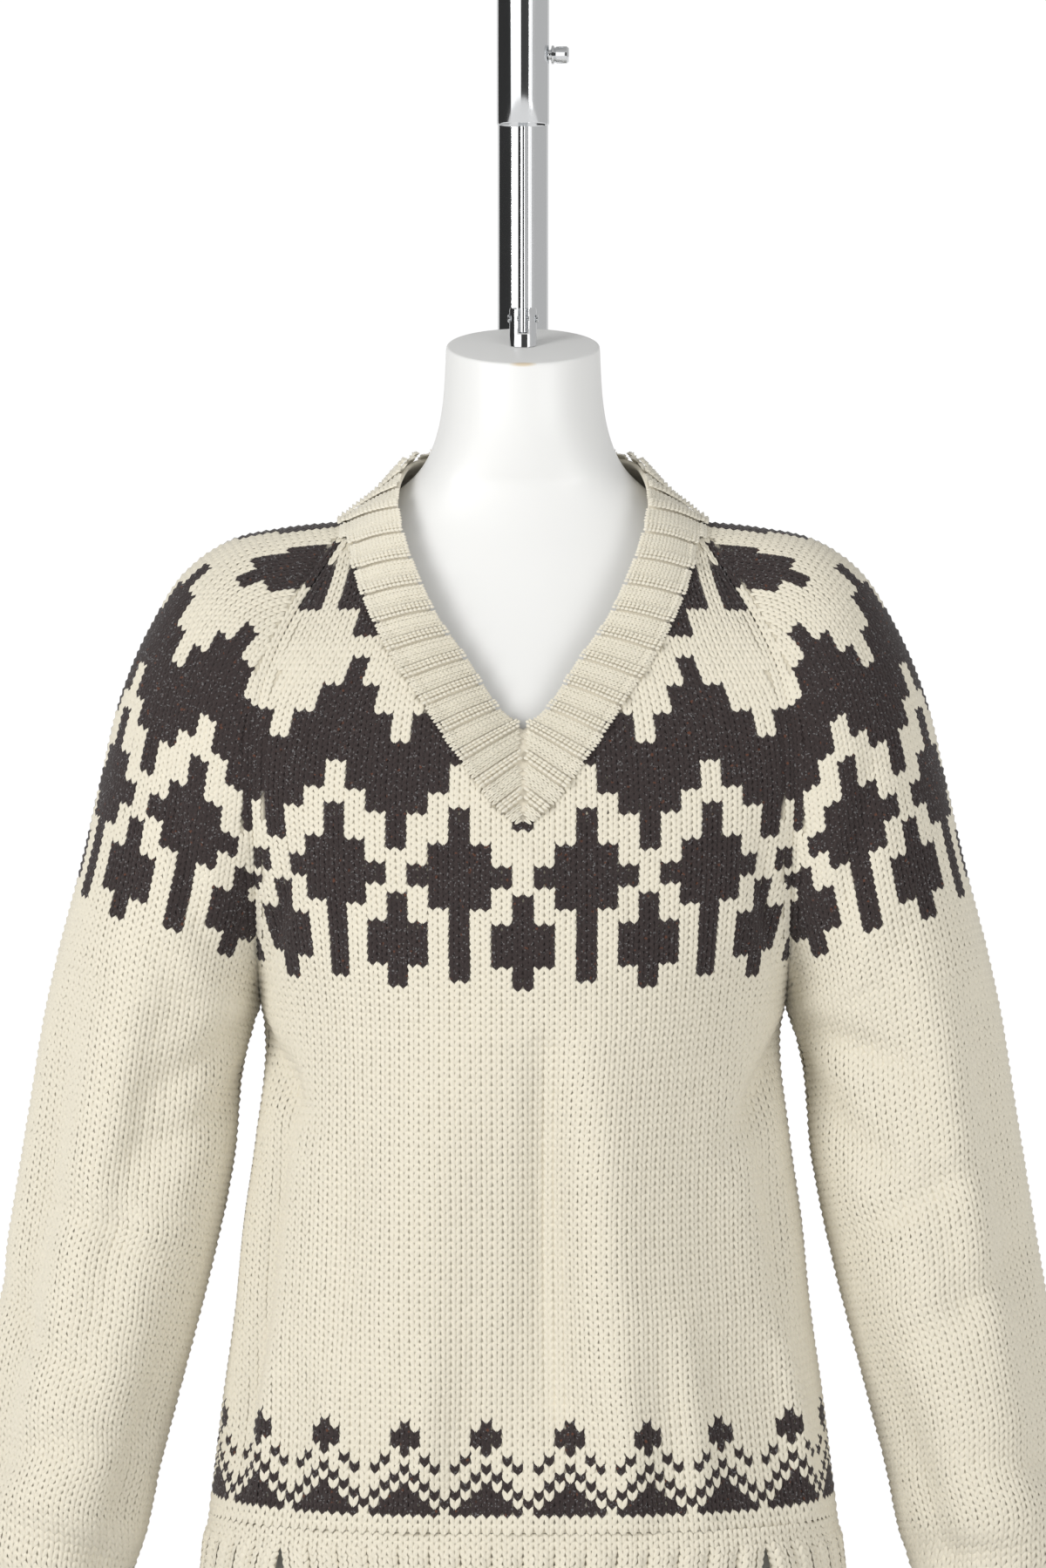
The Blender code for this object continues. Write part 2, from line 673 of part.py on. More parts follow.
def neckband(front_right, back, sleeve_right, finish):
    """The band that follows the v, the shoulders and the nape, ribbed across its width."""
    v_rows = sum(share >= V_SHARE for share in YOKE_STEPS)
    v_line = front_right[:v_rows, 0][::-1]
    over_shoulder = sleeve_right[0]
    nape = back[0][: HALF_PANEL_COLUMNS + 1]
    outer_edge = v_line[:1]
    for part in (v_line, over_shoulder, nape):
        ribs = rib_count(length_of(part), BAND_RIB)
        outer_edge = np.concatenate((outer_edge, spread(part, ribs * POINTS_PER_RIB)[1:]))
    count = len(outer_edge) - 1
    edge = np.array(
        [[BAND_EDGE.read(axis, s) for axis in ("x", "y", "z")] for s in np.linspace(0, 1, 8 * count)]
    )
    free_edge = spread(edge, count)
    rows = []
    for share in (0.0, 0.14, 0.5, 0.86, 1.0):
        row = outer_edge * (1 - share) + free_edge * share
        rows.append(row)
    grid = np.array(rows)
    flip = np.array((-1.0, 1.0, 1.0))
    whole = np.concatenate((grid[:, ::-1] * flip, grid[:, 1:]), axis=1)[:, ::-1]
    normal = shared_normals([whole])[0]
    crown = BAND_CROWN * np.array((0.0, 0.5, 1.0, 0.5, 0.0))
    whole = whole + normal * crown[:, None, None]
    whole[:, 0] = whole[:, -1] = (whole[:, 0] + whole[:, -1]) / 2
    ribbed_band("neckband", whole, BAND_WALL, finish, closed=True, mitre=NECK_MITRE)


# Dress form


def form_ring(row):
    size = {column: float(values[row]) for column, values in FORM.values.items()}
    middle = (size["front_y"] + size["back_y"]) / 2
    half_depth = (size["back_y"] - size["front_y"]) / 2
    lean = math.tan(math.radians(size["tilt"]))
    ring = []
    for k in range(FORM_SIDES):
        angle = 2 * math.pi * k / FORM_SIDES
        depth = half_depth * math.sin(angle)
        point = (size["half_width"] * math.cos(angle), middle + depth, size["z"] + depth * lean)
        ring.append(np.array(point))
    return ring


def dress_form(finish):
    """Neck, shoulders and trunk in one smooth solid, with a flat neck cap and a flat underside."""
    bm = bmesh.new()
    rings = [form_ring(row) for row in range(len(FORM.key))]
    middle = sum(rings[0]) / FORM_SIDES
    cap = [toward(point, middle, CAP_BEVEL) for point in rings[0]]
    edge = [point + np.array((0, 0, -CAP_BEVEL)) for point in rings[0]]
    rings = [cap, edge] + rings[1:]
    made = [[bm.verts.new(point) for point in ring] for ring in rings]
    for upper, lower in zip(made, made[1:]):
        for k in range(FORM_SIDES):
            after = (k + 1) % FORM_SIDES
            bm.faces.new((lower[k], lower[after], upper[after], upper[k]))
    bm.faces.new(made[0])
    bm.faces.new(made[-1][::-1])
    finished("dress_form", bm, finish)


def cap_height(y):
    """The height of the sloping neck cap at this depth."""
    top = {column: float(values[0]) for column, values in FORM.values.items()}
    middle = (top["front_y"] + top["back_y"]) / 2
    return top["z"] + (y - middle) * math.tan(math.radians(top["tilt"]))


# Stand


def half_turn(name, middle, bend_radius, radius, finish, steps=14, sides=ROUND_SIDES):
    """A round bar bent over half a turn in the YZ plane, with flat level ends."""
    bm = bmesh.new()
    rings = []
    for step in range(steps + 1):
        at = math.pi * step / steps
        outward = np.array((0.0, math.cos(at), math.sin(at)))
        ring = []
        for k in range(sides):
            angle = 2 * math.pi * k / sides
            offset = np.array((math.cos(angle), 0, 0)) + outward * math.sin(angle)
            ring.append(bm.verts.new(np.array(middle) + outward * bend_radius + offset * radius))
        rings.append(ring)
    for low, high in zip(rings, rings[1:]):
        for k in range(sides):
            after = (k + 1) % sides
            bm.faces.new((low[k], low[after], high[after], high[k]))
    bm.faces.new(rings[0])
    bm.faces.new(rings[-1])
    finished(name, bm, finish)


def stand(chrome):
    pole_y = ROD_Y + 2 * BEND_RADIUS
    foot = turned(
        "foot_plate",
        (
            (0, 0),
            (FOOT_RADIUS - FOOT_BEVEL, 0),
            (FOOT_RADIUS, FOOT_BEVEL),
            (FOOT_RADIUS, FOOT_THICKNESS - FOOT_BEVEL),
            (FOOT_RADIUS - FOOT_BEVEL, FOOT_THICKNESS),
            (0, FOOT_THICKNESS),
        ),
        chrome,
        centre=(0.0, FOOT_Y),
        sides=2 * ROUND_SIDES,
    )
    foot.data.set_sharp_from_angle(angle=math.radians(30))
    turned(
        "pole",
        (
            (0, FOOT_THICKNESS + SEAM_GAP),
            (TUBE_RADIUS, FOOT_THICKNESS + SEAM_GAP),
            (TUBE_RADIUS, BEND_Z - SEAM_GAP),
            (0, BEND_Z - SEAM_GAP),
        ),
        chrome,
        centre=(0.0, pole_y),
    )
    half_turn("bend", (0, ROD_Y + BEND_RADIUS, BEND_Z), BEND_RADIUS, TUBE_RADIUS, chrome)
    tube = turned(
        "hanger_tube",
        (
            (TUBE_BORE, TUBE_END_Z),
            (TUBE_RADIUS, TUBE_END_Z),
            (TUBE_RADIUS, BEND_Z - SEAM_GAP),
            (TUBE_BORE, BEND_Z - SEAM_GAP),
        ),
        chrome,
        centre=(0.0, ROD_Y),
    )
    hole = crosswise_cylinder("screw_hole", SCREW_SHAFT + SEAM_GAP, 0.005, 0.025, SCREW_Z, chrome)
    cut_by(tube, hole)
    rod = turned(
        "rod",
        (
            (0, ROD_END_Z),
            (ROD_RADIUS, ROD_END_Z),
            (ROD_RADIUS, BUSH_Z[0]),
            (BUSH_RADIUS, BUSH_Z[0]),
            (BUSH_RADIUS, BUSH_Z[1]),
            (0, BUSH_Z[1]),
        ),
        chrome,
        centre=(0.0, ROD_Y),
    )
    pin_hole = crosswise_cylinder("pin_hole", PIN_RADIUS + SEAM_GAP, -0.02, 0.02, PIN_Z, chrome, sides=12)
    cut_by(rod, pin_hole)
    fork = clevis(chrome)
    cut_by(fork, pin_hole)
    crosswise_cylinder("clevis_pin", PIN_RADIUS, -PIN_HALF_LENGTH, PIN_HALF_LENGTH, PIN_Z, chrome, sides=12)
    thumb_screw(chrome)


def clevis(finish):
    """The fork on the neck cap: a floor cut to the cap's slope and two ears beside the rod's end."""
    half, slot = FORK_WIDTH / 2, FORK_SLOT / 2
    outline = (
        (-half, None),
        (half, None),
        (half, FORK_TOP_Z),
        (slot, FORK_TOP_Z),
        (slot, FORK_FLOOR_Z),
        (-slot, FORK_FLOOR_Z),
        (-slot, FORK_TOP_Z),
        (-half, FORK_TOP_Z),
    )
    bm = bmesh.new()
    ends = []
    for y in (ROD_Y - FORK_DEPTH / 2, ROD_Y + FORK_DEPTH / 2):
        foot = cap_height(y) + SEAM_GAP
        ends.append([bm.verts.new((x, y, foot if z is None else z)) for x, z in outline])
    for k in range(len(outline)):
        after = (k + 1) % len(outline)
        bm.faces.new((ends[0][k], ends[0][after], ends[1][after], ends[1][k]))
    bm.faces.new(ends[0])
    bm.faces.new(ends[1])
    return finished("clevis", bm, finish)


def thumb_screw(finish):
    """The screw that holds the rod's bush in the tube, with a plain round head."""
    tip = BUSH_RADIUS + SEAM_GAP
    head_start, head_end = SCREW_HEAD_X
    bevel = 0.0012
    profile = (
        (0, tip),
        (SCREW_SHAFT, tip),
        (SCREW_SHAFT, head_start),
        (SCREW_HEAD - bevel, head_start),
        (SCREW_HEAD, head_start + bevel),
        (SCREW_HEAD, head_end - bevel),
        (SCREW_HEAD - bevel, head_end),
        (0, head_end),
    )
    screw = turned("thumb_screw", profile, finish, sides=16)
    screw.data.transform(rotation_to_x())


def rotation_to_x():
    """Turns a solid that stands on Z so that it lies along X, at the screw's height."""
    return Matrix.Translation((0, ROD_Y, SCREW_Z)) @ Matrix.Rotation(math.pi / 2, 4, "Y")


def main():
    for old in list(bpy.data.objects):
        bpy.data.objects.remove(old)
    knit = material("cream_wool", (0.80, 0.76, 0.64), 0.95)
    rib = material("cream_rib", (0.78, 0.74, 0.62), 0.95)
    lacquer = material("white_lacquer", (0.86, 0.86, 0.84), 0.35)
    chrome = material("chrome", (0.72, 0.73, 0.74), 0.12, 1.0)
    front_right, back, sleeve_right = sweater_panels(knit)
    hem(front_right, back, rib)
    cuff("cuff_right", sleeve_right[-1], rib)
    cuff("cuff_left", mirrored(sleeve_right)[-1], rib)
    neckband(front_right, back, sleeve_right, rib)
    dress_form(lacquer)
    stand(chrome)


main()
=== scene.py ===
import math

import bmesh
import bpy
import numpy as np
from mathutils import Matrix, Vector


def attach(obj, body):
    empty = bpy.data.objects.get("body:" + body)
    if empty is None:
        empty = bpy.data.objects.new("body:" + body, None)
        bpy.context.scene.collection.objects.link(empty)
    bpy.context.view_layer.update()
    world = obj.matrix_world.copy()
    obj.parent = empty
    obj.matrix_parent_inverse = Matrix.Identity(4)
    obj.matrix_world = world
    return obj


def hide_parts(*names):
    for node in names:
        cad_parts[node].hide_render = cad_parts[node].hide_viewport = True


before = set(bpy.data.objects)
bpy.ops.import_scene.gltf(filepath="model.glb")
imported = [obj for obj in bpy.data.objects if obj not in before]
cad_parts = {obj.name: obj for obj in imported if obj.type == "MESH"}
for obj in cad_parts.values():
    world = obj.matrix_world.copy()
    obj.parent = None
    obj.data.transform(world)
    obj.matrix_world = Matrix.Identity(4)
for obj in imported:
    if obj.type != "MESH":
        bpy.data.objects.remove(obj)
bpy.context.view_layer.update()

# Stand
# A cane of chromed steel tube on a round plate. A short tube hangs from its crook, and a rod, held in it by a
# thumb screw, carries a clevis that is pinned to the form's neck.


def new_material(name, **sockets):
    """A material with one Principled shader, and that shader's constant values."""
    material = bpy.data.materials.new(name)
    material.use_nodes = True
    shader = material.node_tree.nodes["Principled BSDF"]
    for socket, value in sockets.items():
        shader.inputs[socket.replace("_", " ")].default_value = value
    return material, material.node_tree, shader


def add_node(tree, kind, inputs=None, **settings):
    """A node with its settings, and its inputs' values or the outputs that feed them.

    A setting that names no property of the node is an input's value too.
    """
    made = tree.nodes.new(kind)
    for name, value in settings.items():
        if hasattr(made, name):
            setattr(made, name, value)
        else:
            made.inputs[name.replace("_", " ")].default_value = value
    for name, value in (inputs or {}).items():
        if isinstance(value, bpy.types.NodeSocket):
            tree.links.new(value, made.inputs[name])
        else:
            made.inputs[name].default_value = value
    return made


def object_noise(tree, scale, detail=2.0):
    """Noise over the object's own coordinates, as a value from 0 to 1."""
    place = add_node(tree, "ShaderNodeTexCoord").outputs["Object"]
    return add_node(tree, "ShaderNodeTexNoise", {"Vector": place}, Scale=scale, Detail=detail).outputs["Fac"]


def metal(name, colour, grain, smoothest, roughest):
    """Bare metal whose polish varies a little over the piece."""
    material, tree, shader = new_material(name, Base_Color=colour, Metallic=1.0)
    noise = {"Value": object_noise(tree, grain)}
    polish = add_node(tree, "ShaderNodeMapRange", noise, To_Min=smoothest, To_Max=roughest)
    tree.links.new(polish.outputs["Result"], shader.inputs["Roughness"])
    return material


def ringed(bm, rings, closed=False):
    """Adds a skin through rings of points. Its ends are flat, or joined to each other where it is closed."""
    made = [[bm.verts.new(point) for point in ring] for ring in rings]
    pairs = list(zip(made, made[1:] + made[:1] if closed else made[1:]))
    for low, high in pairs:
        for k in range(len(low)):
            after = (k + 1) % len(low)
            bm.faces.new((low[k], low[after], high[after], high[k]))
    if not closed:
        bm.faces.new(made[0])
        bm.faces.new(made[-1])


def add_object(name, data):
    made = bpy.data.objects.new(name, data)
    bpy.context.scene.collection.objects.link(made)
    return made


def add_piece(name, mesh, node):
    """A finished piece on the only body and the solid whose place it takes."""
    made = add_object(name, mesh)
    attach(made, "root")
    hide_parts(node)
    return made


def smooth_mesh(name, bm, material):
    """A smoothly shaded mesh in this material, made of a bmesh, which it uses up."""
    mesh = bpy.data.meshes.new(name)
    bm.to_mesh(mesh)
    bm.free()
    mesh.shade_smooth()
    mesh.materials.append(material)
    return mesh


SHARP_ANGLE = math.radians(40)


def hard_piece(node, bm, material):
    """A hard piece: outward faces, smooth but for its sharp edges."""
    bmesh.ops.recalc_face_normals(bm, faces=bm.faces)
    mesh = smooth_mesh(f"{node}_round", bm, material)
    mesh.set_sharp_from_angle(angle=SHARP_ANGLE)
    add_piece(mesh.name, mesh, node)


ROUND_SIDES = 56


def circle(radius, z, y=0.0, sides=ROUND_SIDES):
    turn = np.linspace(0, 2 * math.pi, sides, endpoint=False)
    return np.stack((radius * np.cos(turn), y + radius * np.sin(turn), np.full(sides, z)), axis=1)


TUBE_RADIUS = 0.015
TUBE_BORE = 0.0134
TUBE_END_Z = 0.9725
BEND_RADIUS = 0.080
BEND_Z = 1.058
BEND_RINGS = 41
PLATE_RADIUS = 0.170
PLATE_THICKNESS = 0.008
PLATE_BEVEL = 0.0015
PLATE_Y = 0.030
ROD_Y = -0.008
POLE_Y = ROD_Y + 2 * BEND_RADIUS
ROD_RADIUS = 0.0029
ROD_END_Z = 0.853
BUSH_RADIUS = 0.0131
BUSH_Z = (0.992, 1.026)
JOINT_GAP = 0.0003
RIM = 0.0006

chrome = metal("Polished chrome", (0.80, 0.81, 0.82, 1.0), 30.0, 0.04, 0.10)
plate = metal("Brushed plate", (0.62, 0.63, 0.65, 1.0), 60.0, 0.22, 0.36)


def turned(node, profile, y, material=chrome, closed=False):
    """A round piece on a vertical axis, from its radii and heights."""
    bm = bmesh.new()
    ringed(bm, [circle(radius, z, y) for radius, z in profile], closed)
    hard_piece(node, bm, material)


inner, top = PLATE_RADIUS - PLATE_BEVEL, PLATE_THICKNESS - PLATE_BEVEL
plate_profile = ((inner, 0), (PLATE_RADIUS, PLATE_BEVEL), (PLATE_RADIUS, top), (inner, PLATE_THICKNESS))
turned("foot_plate", plate_profile, PLATE_Y, plate)
turned("pole", ((TUBE_RADIUS, PLATE_THICKNESS + JOINT_GAP), (TUBE_RADIUS, BEND_Z - JOINT_GAP)), POLE_Y)

bm = bmesh.new()
arch = []
for at in np.linspace(0, math.pi, BEND_RINGS):
    outward = np.array((0.0, math.cos(at), math.sin(at)))
    flat = circle(TUBE_RADIUS, 0.0)
    middle = np.array((0.0, ROD_Y + BEND_RADIUS, BEND_Z)) + outward * BEND_RADIUS
    arch.append(middle + flat[:, :1] * np.array((1.0, 0.0, 0.0)) + flat[:, 1:2] * outward)
ringed(bm, arch)
hard_piece("bend", bm, chrome)

tube_profile = (
    (TUBE_BORE, BEND_Z - JOINT_GAP),
    (TUBE_RADIUS, BEND_Z - JOINT_GAP),
    (TUBE_RADIUS, TUBE_END_Z + RIM),
    (TUBE_RADIUS - RIM / 2, TUBE_END_Z),
    (TUBE_BORE + RIM / 2, TUBE_END_Z),
    (TUBE_BORE, TUBE_END_Z + RIM),
)
turned("hanger_tube", tube_profile, ROD_Y, closed=True)
rod_profile = (
    (ROD_RADIUS - RIM, ROD_END_Z),
    (ROD_RADIUS, ROD_END_Z + RIM),
    (ROD_RADIUS, BUSH_Z[0]),
    (BUSH_RADIUS, BUSH_Z[0]),
    (BUSH_RADIUS, BUSH_Z[1]),
)
turned("rod", rod_profile, ROD_Y)

# The clevis is a short round stud on the sloping cap of the neck. A slot is cut down to its floor, so that
# two ears stand beside the rod.
FORK_HALF = (0.00775, 0.0050)
FORK_SLOT = 0.0033
FORK_FLOOR_Z = 0.8522
FORK_TOP_Z = 0.8675
EAR_ROOT = 0.0005
EAR_ROUNDING = 0.0012
EAR_POINTS = 17
EAR_WAIST = 0.96
EAR_TOP = 0.80
PIN_Z = 0.8615
CAP_Z = 0.846
CAP_Y = -0.008
CAP_TILT = math.radians(16)

bm = bmesh.new()
turn = np.linspace(0, 2 * math.pi, ROUND_SIDES, endpoint=False)
x, y = FORK_HALF[0] * np.cos(turn), ROD_Y + FORK_HALF[1] * np.sin(turn)
sloping = CAP_Z + (y - CAP_Y) * math.tan(CAP_TILT) + JOINT_GAP
ringed(bm, [np.stack((x, y, z), axis=1) for z in (sloping, np.full(ROUND_SIDES, FORK_FLOOR_Z))])
reach = math.acos(FORK_SLOT / FORK_HALF[0])
turn = np.linspace(-reach, reach, EAR_POINTS)
ear_levels = (
    (FORK_FLOOR_Z - EAR_ROOT, 1.0),
    (PIN_Z, EAR_WAIST),
    (FORK_TOP_Z - EAR_ROUNDING, 1.0),
    (FORK_TOP_Z, EAR_TOP),
)
for side in (-1, 1):
    ear = np.stack((side * FORK_HALF[0] * np.cos(turn), ROD_Y + FORK_HALF[1] * np.sin(turn)), axis=1)
    middle = ear.mean(axis=0)
    outlines = [(middle + (ear - middle) * width, np.full(EAR_POINTS, z)) for z, width in ear_levels]
    ringed(bm, [np.column_stack(outline) for outline in outlines])
hard_piece("clevis", bm, chrome)


def turned_across(node, profile, z, sides):
    """A round piece along X at this height over the rod, from its radii and places on X."""
    bm = bmesh.new()
    rings = []
    for radius, x in profile:
        flat = circle(radius, x, sides=sides)
        rings.append(np.stack((flat[:, 2], ROD_Y + flat[:, 1], z - flat[:, 0]), axis=1))
    ringed(bm, rings)
    hard_piece(node, bm, chrome)


PIN_RADIUS = 0.0014
PIN_HALF_LENGTH = 0.0088
HEAD_RADIUS = 0.0024
HEAD_START = 0.0079
HEAD_EDGE = 0.0004
HEAD_TOP = 0.7
half_pin = (
    (HEAD_RADIUS * HEAD_TOP, PIN_HALF_LENGTH),
    (HEAD_RADIUS, HEAD_START + HEAD_EDGE),
    (HEAD_RADIUS, HEAD_START),
    (PIN_RADIUS, HEAD_START),
)
turned_across("clevis_pin", [(radius, -x) for radius, x in half_pin] + list(half_pin[::-1]), PIN_Z, 24)

SCREW_Z = 1.0125
screw_profile = (
    (0.0030, BUSH_RADIUS + JOINT_GAP),
    (0.0030, 0.0158),
    (0.0054, 0.0165),
    (0.0054, 0.0176),
    (0.0042, 0.0183),
    (0.0048, 0.0192),
    (0.0050, 0.0250),
    (0.0040, 0.0262),
)
turned_across("thumb_screw", screw_profile, SCREW_Z, 32)

# Dress form
# A limbless trunk with a neck, moulded hollow in plastic and sprayed glossy white. Its neck is cut off at a
# slope, and the edge of that cap is a little worn at the front.


class Table:
    """Rows of sizes under named columns, read as smooth curves over the first column."""

    def __init__(self, columns, *rows):
        self.values = dict(zip(columns.split(), np.array(rows, float).T))
        self.key = self.values[columns.split()[0]]

    def rows(self):
        """Each row as a dict of its named sizes."""
        return [dict(zip(self.values, row)) for row in zip(*self.values.values())]

    def read(self, column, at):
        rows = self.values[column]
        slopes = np.gradient(rows, self.key)
        at = np.asarray(at, float)
        k = np.clip(np.searchsorted(self.key, at, side="right") - 1, 0, len(rows) - 2)
        span = self.key[k + 1] - self.key[k]
        t = (at - self.key[k]) / span
        start = (2 * t**3 - 3 * t**2 + 1) * rows[k] + (t**3 - 2 * t**2 + t) * span * slopes[k]
        end = (3 * t**2 - 2 * t**3) * rows[k + 1] + (t**3 - t**2) * span * slopes[k + 1]
        return start + end

    def all(self, at):
        return {column: self.read(column, at) for column in self.values}


FORM = Table(
    "row z half_width front_y back_y tilt",
    (0, 0.8460, 0.0440, -0.0520, 0.0360, 16),
    (1, 0.8300, 0.0446, -0.0525, 0.0365, 14),
    (2, 0.8130, 0.0456, -0.0520, 0.0380, 11),
    (3, 0.7990, 0.0480, -0.0500, 0.0400, 8),
    (4, 0.7850, 0.0524, -0.0470, 0.0430, 5),
    (5, 0.7760, 0.0580, -0.0450, 0.0460, 3),
    (6, 0.7700, 0.0636, -0.0435, 0.0490, 2),
    (7, 0.7655, 0.0696, -0.0425, 0.0500, 0),
    (8, 0.7573, 0.0792, -0.0430, 0.0515, 0),
    (9, 0.7478, 0.0916, -0.0440, 0.0530, 0),
    (10, 0.7378, 0.1062, -0.0460, 0.0545, 0),
    (11, 0.7285, 0.1214, -0.0485, 0.0548, 0),
    (12, 0.7183, 0.1352, -0.0510, 0.0562, 0),
    (13, 0.7053, 0.1476, -0.0545, 0.0612, 0),
    (14, 0.6885, 0.1590, -0.0600, 0.0735, 0),
    (15, 0.6650, 0.1660, -0.0690, 0.0900, 0),
    (16, 0.6260, 0.1680, -0.0835, 0.1040, 0),
    (17, 0.5830, 0.1660, -0.0970, 0.1080, 0),
    (18, 0.5410, 0.1560, -0.1050, 0.1060, 0),
    (19, 0.4980, 0.1450, -0.1080, 0.1020, 0),
    (20, 0.4560, 0.1360, -0.1060, 0.0970, 0),
    (21, 0.4000, 0.1240, -0.0940, 0.0870, 0),
    (22, 0.3500, 0.1190, -0.0850, 0.0820, 0),
    (23, 0.2900, 0.1320, -0.0880, 0.0850, 0),
    (24, 0.2300, 0.1500, -0.0940, 0.0910, 0),
    (25, 0.1600, 0.1600, -0.0990, 0.0970, 0),
    (26, 0.0950, 0.1520, -0.0940, 0.0920, 0),
)
FORM_SIDES = 96
RINGS_PER_ROW = 5
SMOOTHING_PASSES = 24
CAP_BEVEL = 0.0015
BEVEL_RINGS = 5
CAP_EDGE = (0.0, -0.0525, 0.8335)
WORN_PATCH = (0.0095, 0.004, 0.0022)
WORN_COLOUR = (0.55, 0.42, 0.24, 1.0)


def form_ring(row):
    size = FORM.all(row)
    middle = (size["front_y"] + size["back_y"]) / 2
    turn = np.linspace(0, 2 * math.pi, FORM_SIDES, endpoint=False)
    depth = (size["back_y"] - size["front_y"]) / 2 * np.sin(turn)
    height = size["z"] + depth * math.tan(math.radians(size["tilt"]))
    return np.stack((size["half_width"] * np.cos(turn), middle + depth, height), axis=1)


def blend(tree, first, second, share):
    """The colour that lies this share of the way from the first to the second."""
    inputs = {"A": first, "B": second, "Factor": share}
    return add_node(tree, "ShaderNodeMix", inputs, data_type="RGBA").outputs["Result"]


lacquer, tree, shader = new_material("White lacquer", Roughness=0.38, IOR=1.45)
cloud = blend(tree, (0.70, 0.70, 0.685, 1.0), (0.74, 0.74, 0.725, 1.0), object_noise(tree, 9.0))
place = add_node(tree, "ShaderNodeTexCoord").outputs["Object"]
offset = add_node(tree, "ShaderNodeVectorMath", {0: place, 1: CAP_EDGE}, operation="SUBTRACT")
shrink = {0: offset.outputs["Vector"], 1: [1 / size for size in WORN_PATCH]}
stretch = add_node(tree, "ShaderNodeVectorMath", shrink, operation="MULTIPLY")
reach = add_node(tree, "ShaderNodeVectorMath", {0: stretch.outputs["Vector"]}, operation="LENGTH")
reached = {"Value": reach.outputs["Value"]}
worn = add_node(tree, "ShaderNodeMapRange", reached, From_Min=1.0, From_Max=0.5, To_Min=0.0, To_Max=0.7)
tree.links.new(blend(tree, cloud, WORN_COLOUR, worn.outputs["Result"]), shader.inputs["Base Color"])

bm = bmesh.new()
top_ring = form_ring(0.0)
rows = np.linspace(0, len(FORM.key) - 1, RINGS_PER_ROW * len(FORM.key))
rings = np.array([form_ring(row) for row in rows])
for _ in range(SMOOTHING_PASSES):
    rings[1:-1] = (rings[:-2] + 2 * rings[1:-1] + rings[2:]) / 4
middle = top_ring.mean(axis=0)
inward = (middle - top_ring) / np.linalg.norm(middle - top_ring, axis=1, keepdims=True)
rounding = []
for at in np.linspace(0, math.pi / 2, BEVEL_RINGS):
    inset, drop = CAP_BEVEL * (1 - math.sin(at)), CAP_BEVEL * (1 - math.cos(at))
    rounding.append(top_ring + inward * inset - np.array((0, 0, drop)))
ringed(bm, rounding + list(rings[1:]))
hard_piece("dress_form", bm, lacquer)

# Front
# Chunky wool in stocking stitch, knitted upwards from the hem rib, with the pattern knitted in. Its sides are
# sewn to the back up to the underarm and to the sleeves above it, and its top is cut in a v.

# The knit is one surface, in the sizes of the solids. Heights run from -1 at the lower end of a panel through
# 0 at the underarm to 1 at the neckline.

CAP = Table(
    "share outer_x outer_z seam_x seam_z half_depth arc",
    (0.00, 0.2650, 0.5025, 0.1510, 0.4675, 0.0700, 180),
    (0.15, 0.2526, 0.5495, 0.1510, 0.5105, 0.0745, 138),
    (0.30, 0.2417, 0.5970, 0.1520, 0.5525, 0.0790, 118),
    (0.45, 0.2300, 0.6450, 0.1530, 0.5925, 0.0825, 104),
    (0.60, 0.2110, 0.6890, 0.1510, 0.6310, 0.0820, 95),
    (0.70, 0.1930, 0.7165, 0.1450, 0.6565, 0.0760, 88),
    (0.80, 0.1670, 0.7345, 0.1340, 0.6825, 0.0650, 80),
    (0.90, 0.1355, 0.7415, 0.1190, 0.7090, 0.0500, 70),
    (1.00, 0.1030, 0.7450, 0.1030, 0.7350, 0.0346, 60),
)
YOKE_FRONT = Table(
    "share y z wrap",
    (0.00, -0.1180, 0.4560, 90),
    (0.15, -0.1190, 0.4985, 74),
    (0.30, -0.1150, 0.5410, 62),
    (0.45, -0.1070, 0.5835, 55),
    (0.60, -0.0960, 0.6260, 50),
    (0.70, -0.0870, 0.6545, 48),
    (0.80, -0.0770, 0.6830, 45),
    (0.90, -0.0660, 0.7110, 42),
    (1.00, -0.0550, 0.7395, 40),
)
NECKLINE = Table(
    "share half_width",
    (0.408, 0.0000),
    (0.440, 0.0120),
    (0.470, 0.0200),
    (0.524, 0.0315),
    (0.574, 0.0420),
    (0.660, 0.0575),
    (0.750, 0.0745),
    (0.810, 0.0830),
    (0.865, 0.0895),
    (0.940, 0.0955),
    (1.000, 0.0975),
)
V_SHARE = 0.408
BODY = Table(
    "share side_x side_z front_y front_z back_y back_z squareness",
    (0.00, 0.1510, 0.4675, -0.1180, 0.4560, 0.1120, 0.4575, 2.00),
    (0.08, 0.1475, 0.4450, -0.1180, 0.4330, 0.1100, 0.4340, 2.02),
    (0.25, 0.1520, 0.3950, -0.1160, 0.3850, 0.1065, 0.3870, 2.10),
    (0.42, 0.1590, 0.3450, -0.1130, 0.3350, 0.1040, 0.3370, 2.20),
    (0.60, 0.1640, 0.2950, -0.1105, 0.2850, 0.1030, 0.2870, 2.30),
    (0.76, 0.1710, 0.2450, -0.1090, 0.2360, 0.1040, 0.2380, 2.40),
    (0.93, 0.1770, 0.1960, -0.1080, 0.1890, 0.1060, 0.1910, 2.45),
    (1.00, 0.1790, 0.1800, -0.1080, 0.1755, 0.1070, 0.1765, 2.50),
)
# The broad folds of the solids: where they lie along the row, from -1 to 1, and over which share of the panel
BODY_FOLDS = Table(
    "middle width depth start end",
    (0.00, 0.16, 0.0045, 0.02, 0.97),
    (-0.62, 0.10, 0.0040, 0.30, 1.00),
    (0.60, 0.10, 0.0035, 0.35, 1.00),
)
